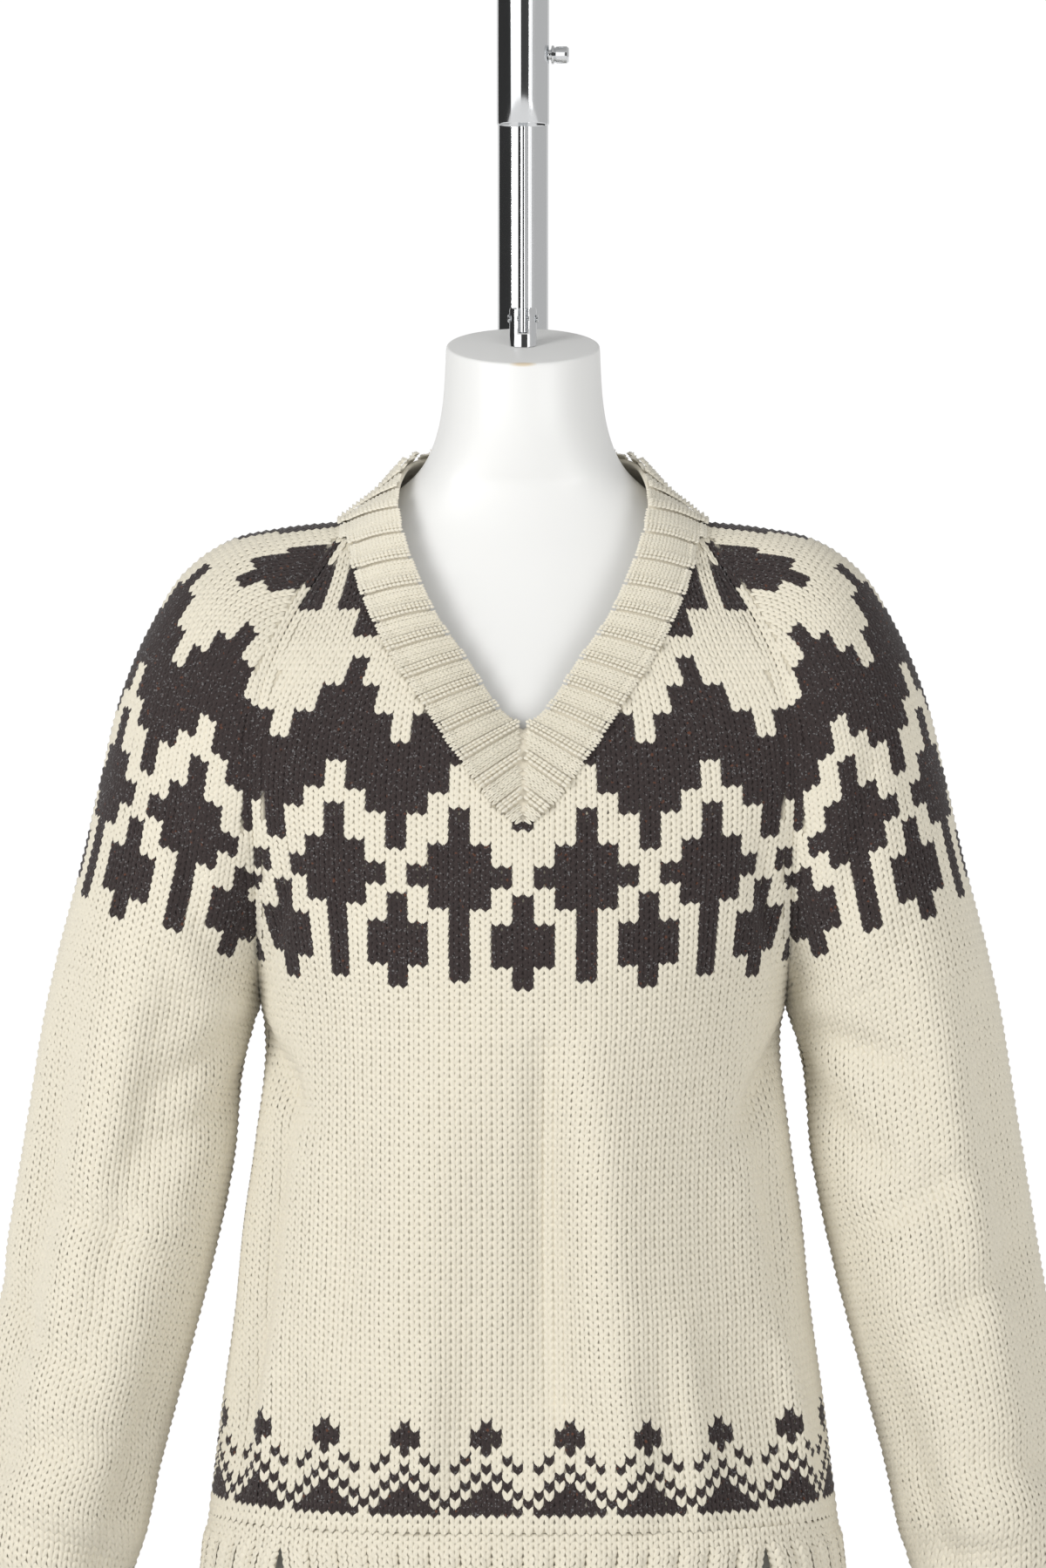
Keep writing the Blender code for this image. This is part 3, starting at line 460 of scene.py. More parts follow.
# Smaller creases of the worn knit, as lines over the panel, in metres wide and deep. Ridges are below zero.
FRONT_CREASES = Table(
    "from_across from_height to_across to_height width depth",
    (0.055, -0.03, 0.035, -0.84, 0.010, 0.0100),
    (-0.03, -0.04, -0.05, -0.80, 0.034, 0.0070),
    (0.17, -0.04, 0.16, -0.92, 0.017, -0.0060),
    (-0.20, -0.10, -0.22, -0.92, 0.026, -0.0040),
    (0.44, -0.10, 0.48, -0.97, 0.030, 0.0066),
    (-0.72, -0.10, -0.70, -0.84, 0.012, 0.0066),
    (-0.88, -0.12, -0.84, -0.86, 0.010, -0.0026),
    (-0.43, -0.20, -0.40, -0.62, 0.016, 0.0040),
    (0.72, -0.14, 0.70, -0.60, 0.014, 0.0050),
    (-0.97, -0.02, -0.60, -0.20, 0.013, 0.0066),
    (0.97, -0.03, 0.58, -0.24, 0.014, 0.0076),
    (-0.61, -0.60, -0.60, -0.99, 0.010, -0.0050),
    (-0.40, -0.66, -0.38, -0.99, 0.011, -0.0048),
    (-0.17, -0.62, -0.16, -0.99, 0.011, -0.0060),
    (0.02, -0.76, 0.01, -0.99, 0.009, -0.0046),
    (0.17, -0.64, 0.17, -0.99, 0.011, -0.0056),
    (0.34, -0.60, 0.33, -0.99, 0.010, -0.0044),
    (0.68, -0.62, 0.70, -0.99, 0.012, -0.0040),
    (-0.88, 0.08, -0.80, 0.36, 0.012, 0.0034),
    (0.86, 0.10, 0.82, 0.34, 0.012, 0.0036),
    (-0.14, 0.33, -0.60, 0.20, 0.016, 0.0030),
    (0.12, 0.34, 0.56, 0.24, 0.018, 0.0032),
)
SLEEVE_FOLDS = Table(
    "middle width depth start end",
    (-0.24, 0.10, 0.0060, 0.02, 0.96),
    (-0.62, 0.09, 0.0050, 0.00, 0.40),
    (0.42, 0.12, 0.0050, 0.05, 0.85),
)


def dip(folds, across, share):
    """How deep the broad folds press the cloth in."""
    depth = np.zeros(np.shape(across))
    for fold in folds.rows():
        along = (share - fold["start"]) / (fold["end"] - fold["start"])
        if 0 < along < 1:
            near = (across - fold["middle"]) / fold["width"]
            depth = depth + fold["depth"] * np.exp(-near * near) * math.sin(math.pi * along) ** 0.5
    return depth


def ring(outer, inner, half_depth, arc, turn, press):
    """Points of a sleeve ring: turn -1 is its front end, 0 its outer point and 1 its back end."""
    outer = np.array(outer)
    across = outer - np.array(inner)
    end = math.radians(arc)
    radius = np.linalg.norm(across) / (1 - math.cos(end))
    direction = across / np.linalg.norm(across)
    centre = outer - direction * radius
    angle = turn * end
    flat = centre + direction * ((radius - press) * np.cos(angle))[:, None]
    return np.stack((flat[:, 0], (half_depth - press) * np.sin(angle), flat[:, 1]), axis=1)


def cap_row(share, turn):
    row = CAP.all(share)
    outer, seam = (row["outer_x"], row["outer_z"]), (row["seam_x"], row["seam_z"])
    return ring(outer, seam, row["half_depth"], row["arc"], turn, dip(SLEEVE_FOLDS, turn, 0.0))


def yoke_row(table, share, across):
    row = table.all(share)
    seam = cap_row(share, np.array([-1.0 if row["y"] < 0 else 1.0]))[0]
    end = math.radians(row["wrap"])
    rise = (1 - np.cos(across * end)) / (1 - math.cos(end))
    x = seam[0] * np.sin(across * end) / math.sin(end)
    y = row["y"] + (seam[1] - row["y"]) * rise
    z = row["z"] + (seam[2] - row["z"]) * rise
    return np.stack((x, y, z), axis=1)


def body_row(side, share, across):
    row = BODY.all(share)
    angle = across * math.pi / 2
    power = 2 / row["squareness"]
    x = row["side_x"] * np.copysign(np.abs(np.sin(angle)) ** power, angle)
    inward = np.maximum(np.cos(angle), 0.0) ** power
    depth = np.abs(row[side + "_y"]) - dip(BODY_FOLDS, across, share)
    z = row["side_z"] + (row[side + "_z"] - row["side_z"]) * np.cos(angle)
    return np.stack((x, depth * inward * (-1 if side == "front" else 1), z), axis=1)


def front_row(height, across):
    if height >= 0:
        return yoke_row(YOKE_FRONT, height, across)
    return body_row("front", -height, across)


def v_edge(height):
    """Where the neckline cuts this row, as a share of the way to the raglan seam."""
    if height <= V_SHARE:
        return 0.0
    end = math.radians(YOKE_FRONT.read("wrap", height))
    seam_x = cap_row(height, np.array([-1.0]))[0, 0]
    return math.asin(float(NECKLINE.read("half_width", height)) * math.sin(end) / seam_x) / end


# The ends of a row meet if they are nearer than this
TOUCHING = 1e-6
# No normal is taken to be shorter than this, as it is divided by its length
TINY = 1e-12


def grid_normals(points):
    """Unit normals of a grid of points: rows run up the cloth, columns to the right as seen from outside.

    A row whose two ends meet is a ring, and its ends share a normal.
    """
    normals = np.cross(np.gradient(points, axis=1), np.gradient(points, axis=0))
    meet = np.linalg.norm(points[:, 0] - points[:, -1], axis=1) < TOUCHING
    normals[meet, 0] = normals[meet, -1] = normals[meet, 0] + normals[meet, -1]
    lengths = np.linalg.norm(normals, axis=2, keepdims=True)
    return normals / np.maximum(lengths, TINY)


CREASE_START = 0.12


def creased(points, normals, spots, heights, creases, panel_size):
    """The grid pressed in along its small creases. spots and heights are each point's place on the panel."""
    width, length = panel_size
    place = np.stack(np.broadcast_arrays(spots * width, heights[:, None] * length), axis=2)
    depth = np.zeros(points.shape[:2])
    for crease in creases.rows():
        start = np.array((crease["from_across"] * width, crease["from_height"] * length))
        run = np.array((crease["to_across"] * width, crease["to_height"] * length)) - start
        share = np.clip(((place - start) @ run) / (run @ run), 0, 1)
        away = np.linalg.norm(place - start - share[..., None] * run, axis=2)
        swell = np.sin(math.pi * (CREASE_START + (1 - 2 * CREASE_START) * share))
        depth += crease["depth"] * np.exp(-((away / crease["width"]) ** 2)) * swell
    return points - normals * depth[..., None]


PANEL_POINTS = 161


def panel_grid(row_of, heights, creases, panel_size, flip=False):
    """A dense grid over a panel: its points and the place along the row of each, from -1 to 1."""
    spots = np.linspace(-1, 1, PANEL_POINTS)
    if flip:
        spots = spots[::-1]
    points = np.array([row_of(h, spots) for h in heights])
    points = creased(points, grid_normals(points), spots, np.array(heights), creases, panel_size)
    return points, spots


def arc_lengths(points):
    """How far each point of each row lies from the row's middle."""
    steps = np.linalg.norm(np.diff(points, axis=1), axis=2)
    reach = np.concatenate((np.zeros((len(points), 1)), np.cumsum(steps, axis=1)), axis=1)
    return reach - reach[:, [points.shape[1] // 2]]


GAUGE = 0.0059
# Towards the neck the stitches narrow, and their columns run together. The width is a share of the gauge.
NARROWING = Table(
    "height width",
    (-1.00, 1.000),
    (-0.30, 1.000),
    (0.00, 1.000),
    (0.30, 1.015),
    (0.50, 1.000),
    (0.64, 0.945),
    (0.78, 0.825),
    (0.90, 0.750),
    (1.00, 0.720),
)
# Along each seam runs one column of stitches, and the panel's own columns end beside it
SEAM_COLUMN = 0.0026
SEAM_INSET = 0.0062
YARN_SINK = 0.0004
YARN_THICK = 0.0015
STITCH_OVERLAP = 1.04
# The way along a row is read between points this far on either side
ASIDE = GAUGE / 3


def euler_of(across, up, out):
    """XYZ angles of the turn that takes X, Y and Z to across, up and out."""
    y = np.arcsin(np.clip(-across[:, 2], -1, 1))
    x = np.arctan2(up[:, 2], out[:, 2])
    z = np.arctan2(across[:, 1], across[:, 0])
    return np.stack((x, y, z), axis=1)


def frame_places(position, across, up, width, height, dark, cell, thick=YARN_THICK, sink=YARN_SINK):
    """Everything the stitch nodes need to know of each stitch."""
    up = up / np.linalg.norm(up, axis=1, keepdims=True)
    out = np.cross(across, up)
    out /= np.linalg.norm(out, axis=1, keepdims=True)
    across = np.cross(up, out)
    size = np.stack((width, height, np.full(len(width), thick)), axis=1)
    return {
        "position": position - out * sink,
        "turn": euler_of(across, up, out),
        "size": size,
        "dark": dark.astype(float),
        "cell": cell,
    }


def read_rows(grid, along, wanted):
    """The grid's rows read at the wanted distances along them. along gives each point's own distance."""
    read = [[np.interp(w, a, axis) for axis in row.T] for row, a, w in zip(grid, along, wanted)]
    return np.array(read).transpose(0, 2, 1)


def stitch_places(points, spots, heights, chart, gap_of=None, seams=None):
    """Stitches in columns of one gauge, counted from the panel's middle and cut off beside its seams.

    gap_of says how far out a row starts, and seams in which rows the panel is sewn at both ends.
    """
    reach = arc_lengths(points)
    rows = len(points)
    seams = np.ones(rows, bool) if seams is None else seams
    widths = GAUGE * NARROWING.read("width", heights)
    columns = int(np.abs(reach / widths[:, None]).max()) + 1
    numbers = np.arange(-columns, columns)
    middle = (numbers + 0.5) * widths[:, None]
    inset = np.where(seams, SEAM_INSET, SEAM_COLUMN)[:, None]
    kept = (middle > reach[:, :1] + inset) & (middle < reach[:, -1:] - inset)
    if gap_of is not None:
        order = np.argsort(spots)
        for i, height in enumerate(heights):
            edge = gap_of(height)
            if edge > 0:
                cut = np.interp(edge, spots[order], np.abs(reach[i])[order])
                kept[i] &= np.abs(middle[i]) > cut
    edges = np.stack((reach[:, 0] + SEAM_COLUMN, reach[:, -1] - SEAM_COLUMN), axis=1)
    numbers = np.broadcast_to(numbers, middle.shape)
    numbers = np.concatenate((numbers, np.floor(edges / widths[:, None])), axis=1).astype(int)
    wanted = np.concatenate((middle, edges), axis=1)
    at = read_rows(points, reach, wanted)
    ahead = read_rows(points, reach, wanted + ASIDE) - read_rows(points, reach, wanted - ASIDE)
    up = np.gradient(at, axis=0)
    kept = np.concatenate((kept, np.stack((seams, seams), axis=1)), axis=1)
    i, j = np.nonzero(kept)
    high = np.linalg.norm(up[i, j], axis=1)
    columns = numbers.shape[1]
    cell = np.stack((j / columns, i / rows), axis=1)
    dark = chart(i, numbers[i, j])
    places = frame_places(at[i, j], ahead[i, j], up[i, j], widths[i] * STITCH_OVERLAP, high, dark, cell)
    places["cells"] = (columns, rows)
    return places


# One leg of a stitch is a lens of yarn with its fat side out
LEG = Table(
    "vertex along aside rise",
    (0, 0.00, 0.0, 0.25),
    (1, 0.28, -0.85, 0.05),
    (2, 0.80, -1.0, 0.00),
    (3, 0.28, 0.85, 0.05),
    (4, 0.80, 1.0, 0.00),
    (5, 0.55, 0.0, 1.0),
    (6, 1.00, 0.0, -0.10),
)
LEG_FACES = (
    (0, 5, 1),
    (0, 3, 5),
    (1, 5, 2),
    (5, 3, 4),
    (2, 5, 6),
    (5, 4, 6),
    (0, 1, 3),
    (1, 2, 4, 3),
    (2, 6, 4),
)
# Shading breaks here, between a leg's round top and its flat underside, so that the yarn looks soft
LEG_RIM = ((0, 1), (1, 2), (2, 6), (4, 6), (3, 4), (0, 3))


def leg(start, end, half_width):
    """The vertices of one leg from its low end to its high end."""
    start, end = np.array(start), np.array(end)
    way = end - start
    side = np.array((way[1], -way[0])) / np.linalg.norm(way) * half_width
    flat = start + LEG.values["along"][:, None] * way + LEG.values["aside"][:, None] * side
    return np.concatenate((flat, LEG.values["rise"][:, None]), axis=1)


def stitch_object(name, legs, cell_low, cell_high):
    """The object that the nodes repeat, with each vertex's place in its cell of the chart."""
    points = np.concatenate(legs)
    faces = [tuple(v + len(LEG.key) * k for v in face[::-1]) for k in range(len(legs)) for face in LEG_FACES]
    mesh = bpy.data.meshes.new(name)
    mesh.from_pydata(points.tolist(), [], faces)
    mesh.shade_smooth()
    for edge in mesh.edges:
        edge.use_edge_sharp = tuple(sorted(v % len(LEG.key) for v in edge.vertices)) in LEG_RIM
    low, high = np.array(cell_low), np.array(cell_high)
    return bpy.data.objects.new(name, mesh), (points[:, :2] - low) / (high - low)


# A plain stitch, one unit wide and high, is two legs that meet low down and lean apart
v_legs = [leg((side * 0.06, -0.84), (side * 0.37, 0.66), 0.245) for side in (-1, 1)]
v_stitch = stitch_object("v_stitch", v_legs, (-0.66, -0.90), (0.66, 0.78))


def stitch_nodes():
    """Sets one stitch on every point of a mesh, turned and sized as the point says."""
    tree = bpy.data.node_groups.new("Knit stitches", "GeometryNodeTree")
    for name, kind in (
        ("Geometry", "Geometry"),
        ("Stitch", "Object"),
        ("Wool", "Material"),
        ("Plumpness", "Float"),
        ("Unevenness", "Float"),
        ("Sway", "Float"),
    ):
        tree.interface.new_socket(name, in_out="INPUT", socket_type=f"NodeSocket{kind}")
    tree.interface.new_socket("Geometry", in_out="OUTPUT", socket_type="NodeSocketGeometry")

    def point_values(name):
        read = add_node(tree, "GeometryNodeInputNamedAttribute", data_type="FLOAT_VECTOR", Name=name)
        return read.outputs["Attribute"]

    def vector_maths(operation, inputs):
        return add_node(tree, "ShaderNodeVectorMath", inputs, operation=operation).outputs["Vector"]

    def drawn(seed, strength):
        """Three random values from -1 to 1 for each stitch, times a strength."""
        limits = {"Min": (-1, -1, -1), "Max": (1, 1, 1), "Seed": seed}
        draw = add_node(tree, "FunctionNodeRandomValue", limits, data_type="FLOAT_VECTOR")
        return vector_maths("SCALE", {0: draw.outputs["Value"], "Scale": strength})

    def rotation(euler):
        return add_node(tree, "FunctionNodeEulerToRotation", {"Euler": euler}).outputs["Rotation"]

    given = add_node(tree, "NodeGroupInput").outputs
    turns = {"Rotation": rotation(point_values("turn")), "Rotate By": rotation(drawn(3, given["Sway"]))}
    swayed = add_node(tree, "FunctionNodeRotateRotation", turns, rotation_space="LOCAL")
    around_one = vector_maths("ADD", {0: drawn(8, given["Unevenness"]), 1: (1, 1, 1)})
    scaled = vector_maths("MULTIPLY", {0: around_one, 1: point_values("size")})
    plump = add_node(tree, "ShaderNodeCombineXYZ", {"X": 1.0, "Y": 1.0, "Z": given["Plumpness"]})
    stitch = add_node(tree, "GeometryNodeObjectInfo", {"Object": given["Stitch"]})
    instances = {
        "Points": given["Geometry"],
        "Instance": stitch.outputs["Geometry"],
        "Rotation": swayed.outputs["Rotation"],
        "Scale": vector_maths("MULTIPLY", {0: scaled, 1: plump.outputs["Vector"]}),
    }
    placed = add_node(tree, "GeometryNodeInstanceOnPoints", instances)
    real = add_node(tree, "GeometryNodeRealizeInstances", {"Geometry": placed.outputs["Instances"]})
    paint = {"Geometry": real.outputs["Geometry"], "Material": given["Wool"]}
    painted = add_node(tree, "GeometryNodeSetMaterial", paint)
    add_node(tree, "NodeGroupOutput", {"Geometry": painted.outputs["Geometry"]})
    return tree


STITCH_TREE = stitch_nodes()


def set_input(modifier, name, value):
    """Sets a modifier's input by its socket's identifier."""
    for item in modifier.node_group.interface.items_tree:
        if item.item_type == "SOCKET" and item.in_out == "INPUT" and item.name == name:
            modifier[item.identifier] = value
            return
    raise KeyError(name)


def give_points(mesh, name, values):
    """Gives a mesh one value, or one vector, for each of its points."""
    kind, field = ("FLOAT_VECTOR", "vector") if values.ndim == 2 else ("FLOAT", "value")
    mesh.attributes.new(name, kind, "POINT").data.foreach_set(field, values.ravel())


def knitted(name, places, stitch, wool, node):
    """A plain mesh of stitches, one at each place, with a map that gives every stitch its own cell."""
    stitch_shape, cell_places = stitch
    mesh = bpy.data.meshes.new(name)
    mesh.vertices.add(len(places["position"]))
    mesh.vertices.foreach_set("co", places["position"].ravel())
    for key in ("turn", "size", "dark"):
        give_points(mesh, key, places[key])
    points = add_object(name, mesh)
    modifier = points.modifiers.new("stitches", "NODES")
    modifier.node_group = STITCH_TREE
    set_input(modifier, "Stitch", stitch_shape)
    set_input(modifier, "Wool", wool)
    set_input(modifier, "Plumpness", 1.0)
    set_input(modifier, "Unevenness", 0.06)
    set_input(modifier, "Sway", 0.05)
    graph = bpy.context.evaluated_depsgraph_get()
    knit = bpy.data.meshes.new_from_object(points.evaluated_get(graph))
    bpy.data.objects.remove(points)
    knit.name = name
    for key in ("turn", "size"):
        knit.attributes.remove(knit.attributes[key])
    corners = np.empty(len(knit.loops), int)
    knit.loops.foreach_get("vertex_index", corners)
    number, vertex = np.divmod(corners, len(cell_places))
    across, down = places["cells"]
    uv = places["cell"][number] + cell_places[vertex] * np.array((1 / across, 1 / down))
    layer = knit.uv_layers.new(name="OFBake")
    layer.data.foreach_set("uv", uv.astype(np.float32).ravel())
    return add_piece(name, knit, node)


WOOL_GRAIN = 420.0
FUZZ_GRAIN = 1400.0
TWEED_GRAIN = 760.0
TWEED = ((0.010, 0.007, 0.007, 1.0), (0.050, 0.035, 0.033, 1.0))
# White, blue and rust: the colour, the scale of the cells and the share of them that it takes
FLECKS = (
    ((0.12, 0.115, 0.115, 1.0), 1300.0, 0.055),
    ((0.04, 0.13, 0.26, 1.0), 800.0, 0.010),
    ((0.09, 0.035, 0.02, 1.0), 800.0, 0.010),
)


def wool_material(name, cream, shade):
    """Wool that is cream or, where the chart says so, a charcoal tweed flecked with white, blue and rust."""
    material, tree, shader = new_material(
        name, Roughness=0.92, Specular_IOR_Level=0.15, Sheen_Weight=0.18, Sheen_Roughness=0.6
    )
    light = blend(tree, (*shade, 1.0), (*cream, 1.0), object_noise(tree, WOOL_GRAIN, 3.0))
    dark = blend(tree, *TWEED, object_noise(tree, TWEED_GRAIN, 4.0))
    place = add_node(tree, "ShaderNodeTexCoord").outputs["Object"]
    for fleck, scale, share in FLECKS:
        cells = add_node(tree, "ShaderNodeTexVoronoi", {"Vector": place}, Scale=scale)
        pick = add_node(tree, "ShaderNodeSeparateColor", {"Color": cells.outputs["Color"]})
        chosen = add_node(tree, "ShaderNodeMath", {0: pick.outputs["Red"], 1: share}, operation="LESS_THAN")
        dark = blend(tree, dark, fleck, chosen.outputs["Value"])
    charted = add_node(tree, "ShaderNodeAttribute", attribute_name="dark").outputs["Fac"]
    tree.links.new(blend(tree, light, dark, charted), shader.inputs["Base Color"])
    fuzz = {"Height": object_noise(tree, FUZZ_GRAIN)}
    bump = add_node(tree, "ShaderNodeBump", fuzz, Strength=0.5, Distance=0.0006)
    tree.links.new(bump.outputs["Normal"], shader.inputs["Normal"])
    return material


wool = wool_material("Chunky wool", (0.705, 0.66, 0.55), (0.655, 0.61, 0.495))
# The wall between the stitches is the same wool painted darker, as painted shade in the gaps between the legs
painted_shade_wool = wool_material("Wool between the stitches", (0.64, 0.59, 0.475), (0.59, 0.54, 0.42))

# The yoke's chart. It repeats every 12 stitches: leaf columns lie at the middle and every 12 from it, stem
# columns halfway between them. Rows count up from the pattern's lowest, and a width of 12 fills the row.
YOKE_CHART = (
    "column first last width",
    (0, 0, 2, 2),
    (0, 3, 8, 6),
    (0, 9, 12, 2),
    (6, 1, 10, 2),
    (6, 11, 13, 6),
    (6, 14, 16, 10),
    (6, 17, 19, 6),
    (6, 20, 24, 2),
    (0, 19, 23, 2),
    (0, 24, 26, 6),
    (0, 27, 30, 10),
    (0, 31, 33, 12),
    (6, 34, 37, 10),
    (6, 38, 41, 6),
    (6, 42, 45, 2),
)
# The topmost motif stands over the stems on the front and the back, and over the leaves on the sleeves.
BODY_TOP = ((6, 49, 52, 5), (6, 53, 59, 11), (6, 60, 65, 6))
SLEEVE_TOP = ((0, 48, 50, 3), (0, 51, 55, 6), (0, 56, 63, 9), (0, 64, 69, 3))
BODY_YOKE = Table(*YOKE_CHART, *BODY_TOP)
SLEEVE_YOKE = Table(*YOKE_CHART, *SLEEVE_TOP)
YOKE_REPEAT = 12
YOKE_ROWS = 70
PATTERN_START = 6
# What the front's middle motif leaves out for the point of the v: half the width, the first and the last row
MIDDLE_GAPS = ((1, 19, 21), (5, 24, 30))
# The hem's chart repeats every 8 stitches, over two plain rows. Each row lists how far its dark stitches lie
# from the motif's middle.
HEM_CHART = ("", "", "0123", "0124", "013", "02", "1", "03", "2", "0", "01", "01", "0")
HEM_REPEAT = 8
HEM_ROWS = len(HEM_CHART)
HEM_ROW_HEIGHT = 0.0048
# The rows of plain cream between the hem's pattern and the yoke
PLAIN_ROWS = 50
BODY_ROWS = HEM_ROWS + PLAIN_ROWS


def yoke_dark(table, row, number):
    """Whether a stitch of the yoke is dark, from its row over the underarm and its number from the middle."""
    row = row - PATTERN_START
    dark = np.zeros(np.shape(row), bool)
    for motif in table.rows():
        spot = number + 0.5 - motif["column"]
        away = np.abs((spot + YOKE_REPEAT / 2) % YOKE_REPEAT - YOKE_REPEAT / 2)
        inside = (row >= motif["first"]) & (row <= motif["last"])
        dark |= inside & (away < motif["width"] / 2)
    return dark


def hem_dark(row, number):
    """Whether a stitch of the band over the hem rib is dark."""
    away = np.abs(number % HEM_REPEAT - HEM_REPEAT // 2)
    dark = np.zeros(np.shape(row), bool)
    for k, spots in enumerate(HEM_CHART):
        for spot in spots:
            dark |= (row == k) & (away == int(spot))
    return dark


def body_chart(row, number):
    return np.where(row < BODY_ROWS, hem_dark(row, number), yoke_dark(BODY_YOKE, row - BODY_ROWS, number))


def front_chart(row, number):
    """The body's chart, but its middle motif gives way to the point of the v, under which its stem ends."""
    dark = body_chart(row, number)
    high = row - BODY_ROWS - PATTERN_START
    for half_width, first, last in MIDDLE_GAPS:
        dark &= ~((np.abs(number + 0.5) < half_width) & (high >= first) & (high <= last))
    return dark


# The rows of stitches lie at even distances over the panel's lower edge
LEVEL_POINTS = 201
body_shares = np.linspace(1, 0, LEVEL_POINTS)
levels = BODY.read("front_z", body_shares)
plain_height = (levels[-1] - levels[0] - HEM_ROWS * HEM_ROW_HEIGHT) / PLAIN_ROWS
row_steps = np.concatenate((np.full(HEM_ROWS, HEM_ROW_HEIGHT), np.full(PLAIN_ROWS, plain_height)))
body_heights = -np.interp(levels[0] + np.cumsum(row_steps) - row_steps / 2, levels, body_shares)
yoke_heights = (np.arange(YOKE_ROWS) + 0.5) / YOKE_ROWS
PANEL_HEIGHTS = np.concatenate((body_heights, yoke_heights))

# The wall behind the stitches: how far it lies under the knit's surface, and its own thickness
SHELL_SINK = 0.0009
SHELL_THICK = 0.0022


def shell(points, dark, open_low, open_high, normals=None):
    """A thin closed wall under a grid of points. The flags say, row by row, which ends are cut edges."""
    if normals is None:
        normals = grid_normals(points)
    outer = points - normals * SHELL_SINK
    inner = outer - normals * SHELL_THICK
    rows, columns = points.shape[:2]
    out = np.arange(rows * columns).reshape(rows, columns)
    into = out + rows * columns
    faces = []

    def quads(a, b, c, d):
        faces.extend(np.stack((a, b, c, d), axis=-1).reshape(-1, 4).tolist())

    quads(out[:-1, :-1], out[:-1, 1:], out[1:, 1:], out[1:, :-1])
    quads(into[1:, :-1], into[1:, 1:], into[:-1, 1:], into[:-1, :-1])
    quads(out[0, 1:], out[0, :-1], into[0, :-1], into[0, 1:])
    quads(out[-1, :-1], out[-1, 1:], into[-1, 1:], into[-1, :-1])
    low = np.nonzero(open_low[:-1] | open_low[1:])[0]
    high = np.nonzero(open_high[:-1] | open_high[1:])[0]
    quads(out[low, 0], out[low + 1, 0], into[low + 1, 0], into[low, 0])
    quads(out[high + 1, -1], out[high, -1], into[high, -1], into[high + 1, -1])
    mesh = bpy.data.meshes.new("wall")
    mesh.from_pydata(np.concatenate((outer.reshape(-1, 3), inner.reshape(-1, 3))).tolist(), [], faces)
    give_points(mesh, "dark", np.tile(dark.astype(float).ravel(), 2))
    return mesh


WELD = 0.00003


def walled(name, walls, material, node):
    """One closed piece of its walls, with the points where they meet made one."""
    bm = bmesh.new()
    for wall in walls:
        bm.from_mesh(wall)
        bpy.data.meshes.remove(wall)
    bmesh.ops.remove_doubles(bm, verts=bm.verts, dist=WELD)
    return add_piece(name, smooth_mesh(name, bm, material), node)


def panel_dark(reach, heights, rows, chart):
    """The chart's shade on a coarser grid, from each point's distance along its row of stitches."""
    widths = GAUGE * NARROWING.read("width", heights)
    numbers = np.floor(reach / widths[:, None]).astype(int)
    return chart(np.broadcast_to(rows[:, None], numbers.shape), numbers)


def shell_rows(heights):
    """The rows of a panel's wall: its two ends and every other row of stitches."""
    rows = np.arange(0, len(heights), 2)
    return np.concatenate(([-1.0], heights[rows], [1.0])), np.concatenate(([0], rows, [len(heights) - 1]))


# A crease's places across the panel and up or down from the underarm are shares of these lengths
PANEL_SIZE = (0.20, 0.29)
HALF_POINTS = 41
points, spots = panel_grid(front_row, PANEL_HEIGHTS, FRONT_CREASES, PANEL_SIZE)
places = stitch_places(points, spots, PANEL_HEIGHTS, front_chart, gap_of=v_edge)
front_stitches = knitted("front_stitches", places, v_stitch, wool, "front")

# The wall is two halves, which meet in the middle below the v
heights, rows = shell_rows(PANEL_HEIGHTS)
heights[np.argmin(np.abs(heights - V_SHARE))] = V_SHARE
whole, whole_spots = panel_grid(front_row, heights, FRONT_CREASES, PANEL_SIZE)
along = np.broadcast_to(whole_spots, whole.shape[:2])
edges = np.array([v_edge(h) for h in heights])[:, None]
middle_open = edges[:, 0] > 0
every = np.ones(len(heights), bool)
halves = []
for side in (-1, 1):
    spots = side * (edges + (1 - edges) * np.linspace(0, 1, HALF_POINTS))[:, ::side]
    points = read_rows(whole, along, spots)
    normals = read_rows(grid_normals(whole), along, spots)
    reach = read_rows(arc_lengths(whole)[..., None], along, spots)[..., 0]
    dark = panel_dark(reach, heights, rows, front_chart)
    low, high = (every, middle_open) if side < 0 else (middle_open, every)
    halves.append(shell(points, dark, low, high, normals))
front = walled("front_knit", halves, painted_shade_wool, "front")

# Back
# The same knit as the front, a little longer and without the v. Its top is the nape of the neckline, and the
# pattern runs right across it.

YOKE_BACK = Table(
    "share y z wrap",
    (0.00, 0.1120, 0.4575, 90),
    (0.15, 0.1150, 0.5035, 74),
    (0.30, 0.1180, 0.5495, 62),
    (0.45, 0.1190, 0.5960, 56),
    (0.60, 0.1170, 0.6420, 54),
    (0.70, 0.1130, 0.6730, 54),
    (0.80, 0.1050, 0.7035, 56),
    (0.90, 0.0910, 0.7340, 60),
    (1.00, 0.0700, 0.7650, 66),
)
BACK_CREASES = Table(
    "from_across from_height to_across to_height width depth",
    (0.96, -0.03, 0.50, -0.24, 0.014, 0.0060),
    (-0.96, -0.02, -0.56, -0.20, 0.013, 0.0056),
    (0.90, -0.18, 0.62, -0.62, 0.015, 0.0048),
    (-0.92, -0.14, -0.70, -0.50, 0.014, 0.0046),
    (0.86, 0.16, 0.34, 0.10, 0.016, 0.0036),
    (-0.84, 0.20, -0.30, 0.12, 0.018, 0.0040),
    (-0.44, -0.30, -0.38, -0.98, 0.020, 0.0052),
    (0.28, -0.40, 0.34, -0.99, 0.018, 0.0056),
    (0.02, -0.08, 0.05, -0.80, 0.024, 0.0050),
    (-0.14, -0.66, -0.16, -0.99, 0.013, 0.0034),
)


def back_row(height, across):
    if height >= 0:
        return yoke_row(YOKE_BACK, height, across)
    return body_row("back", -height, across)


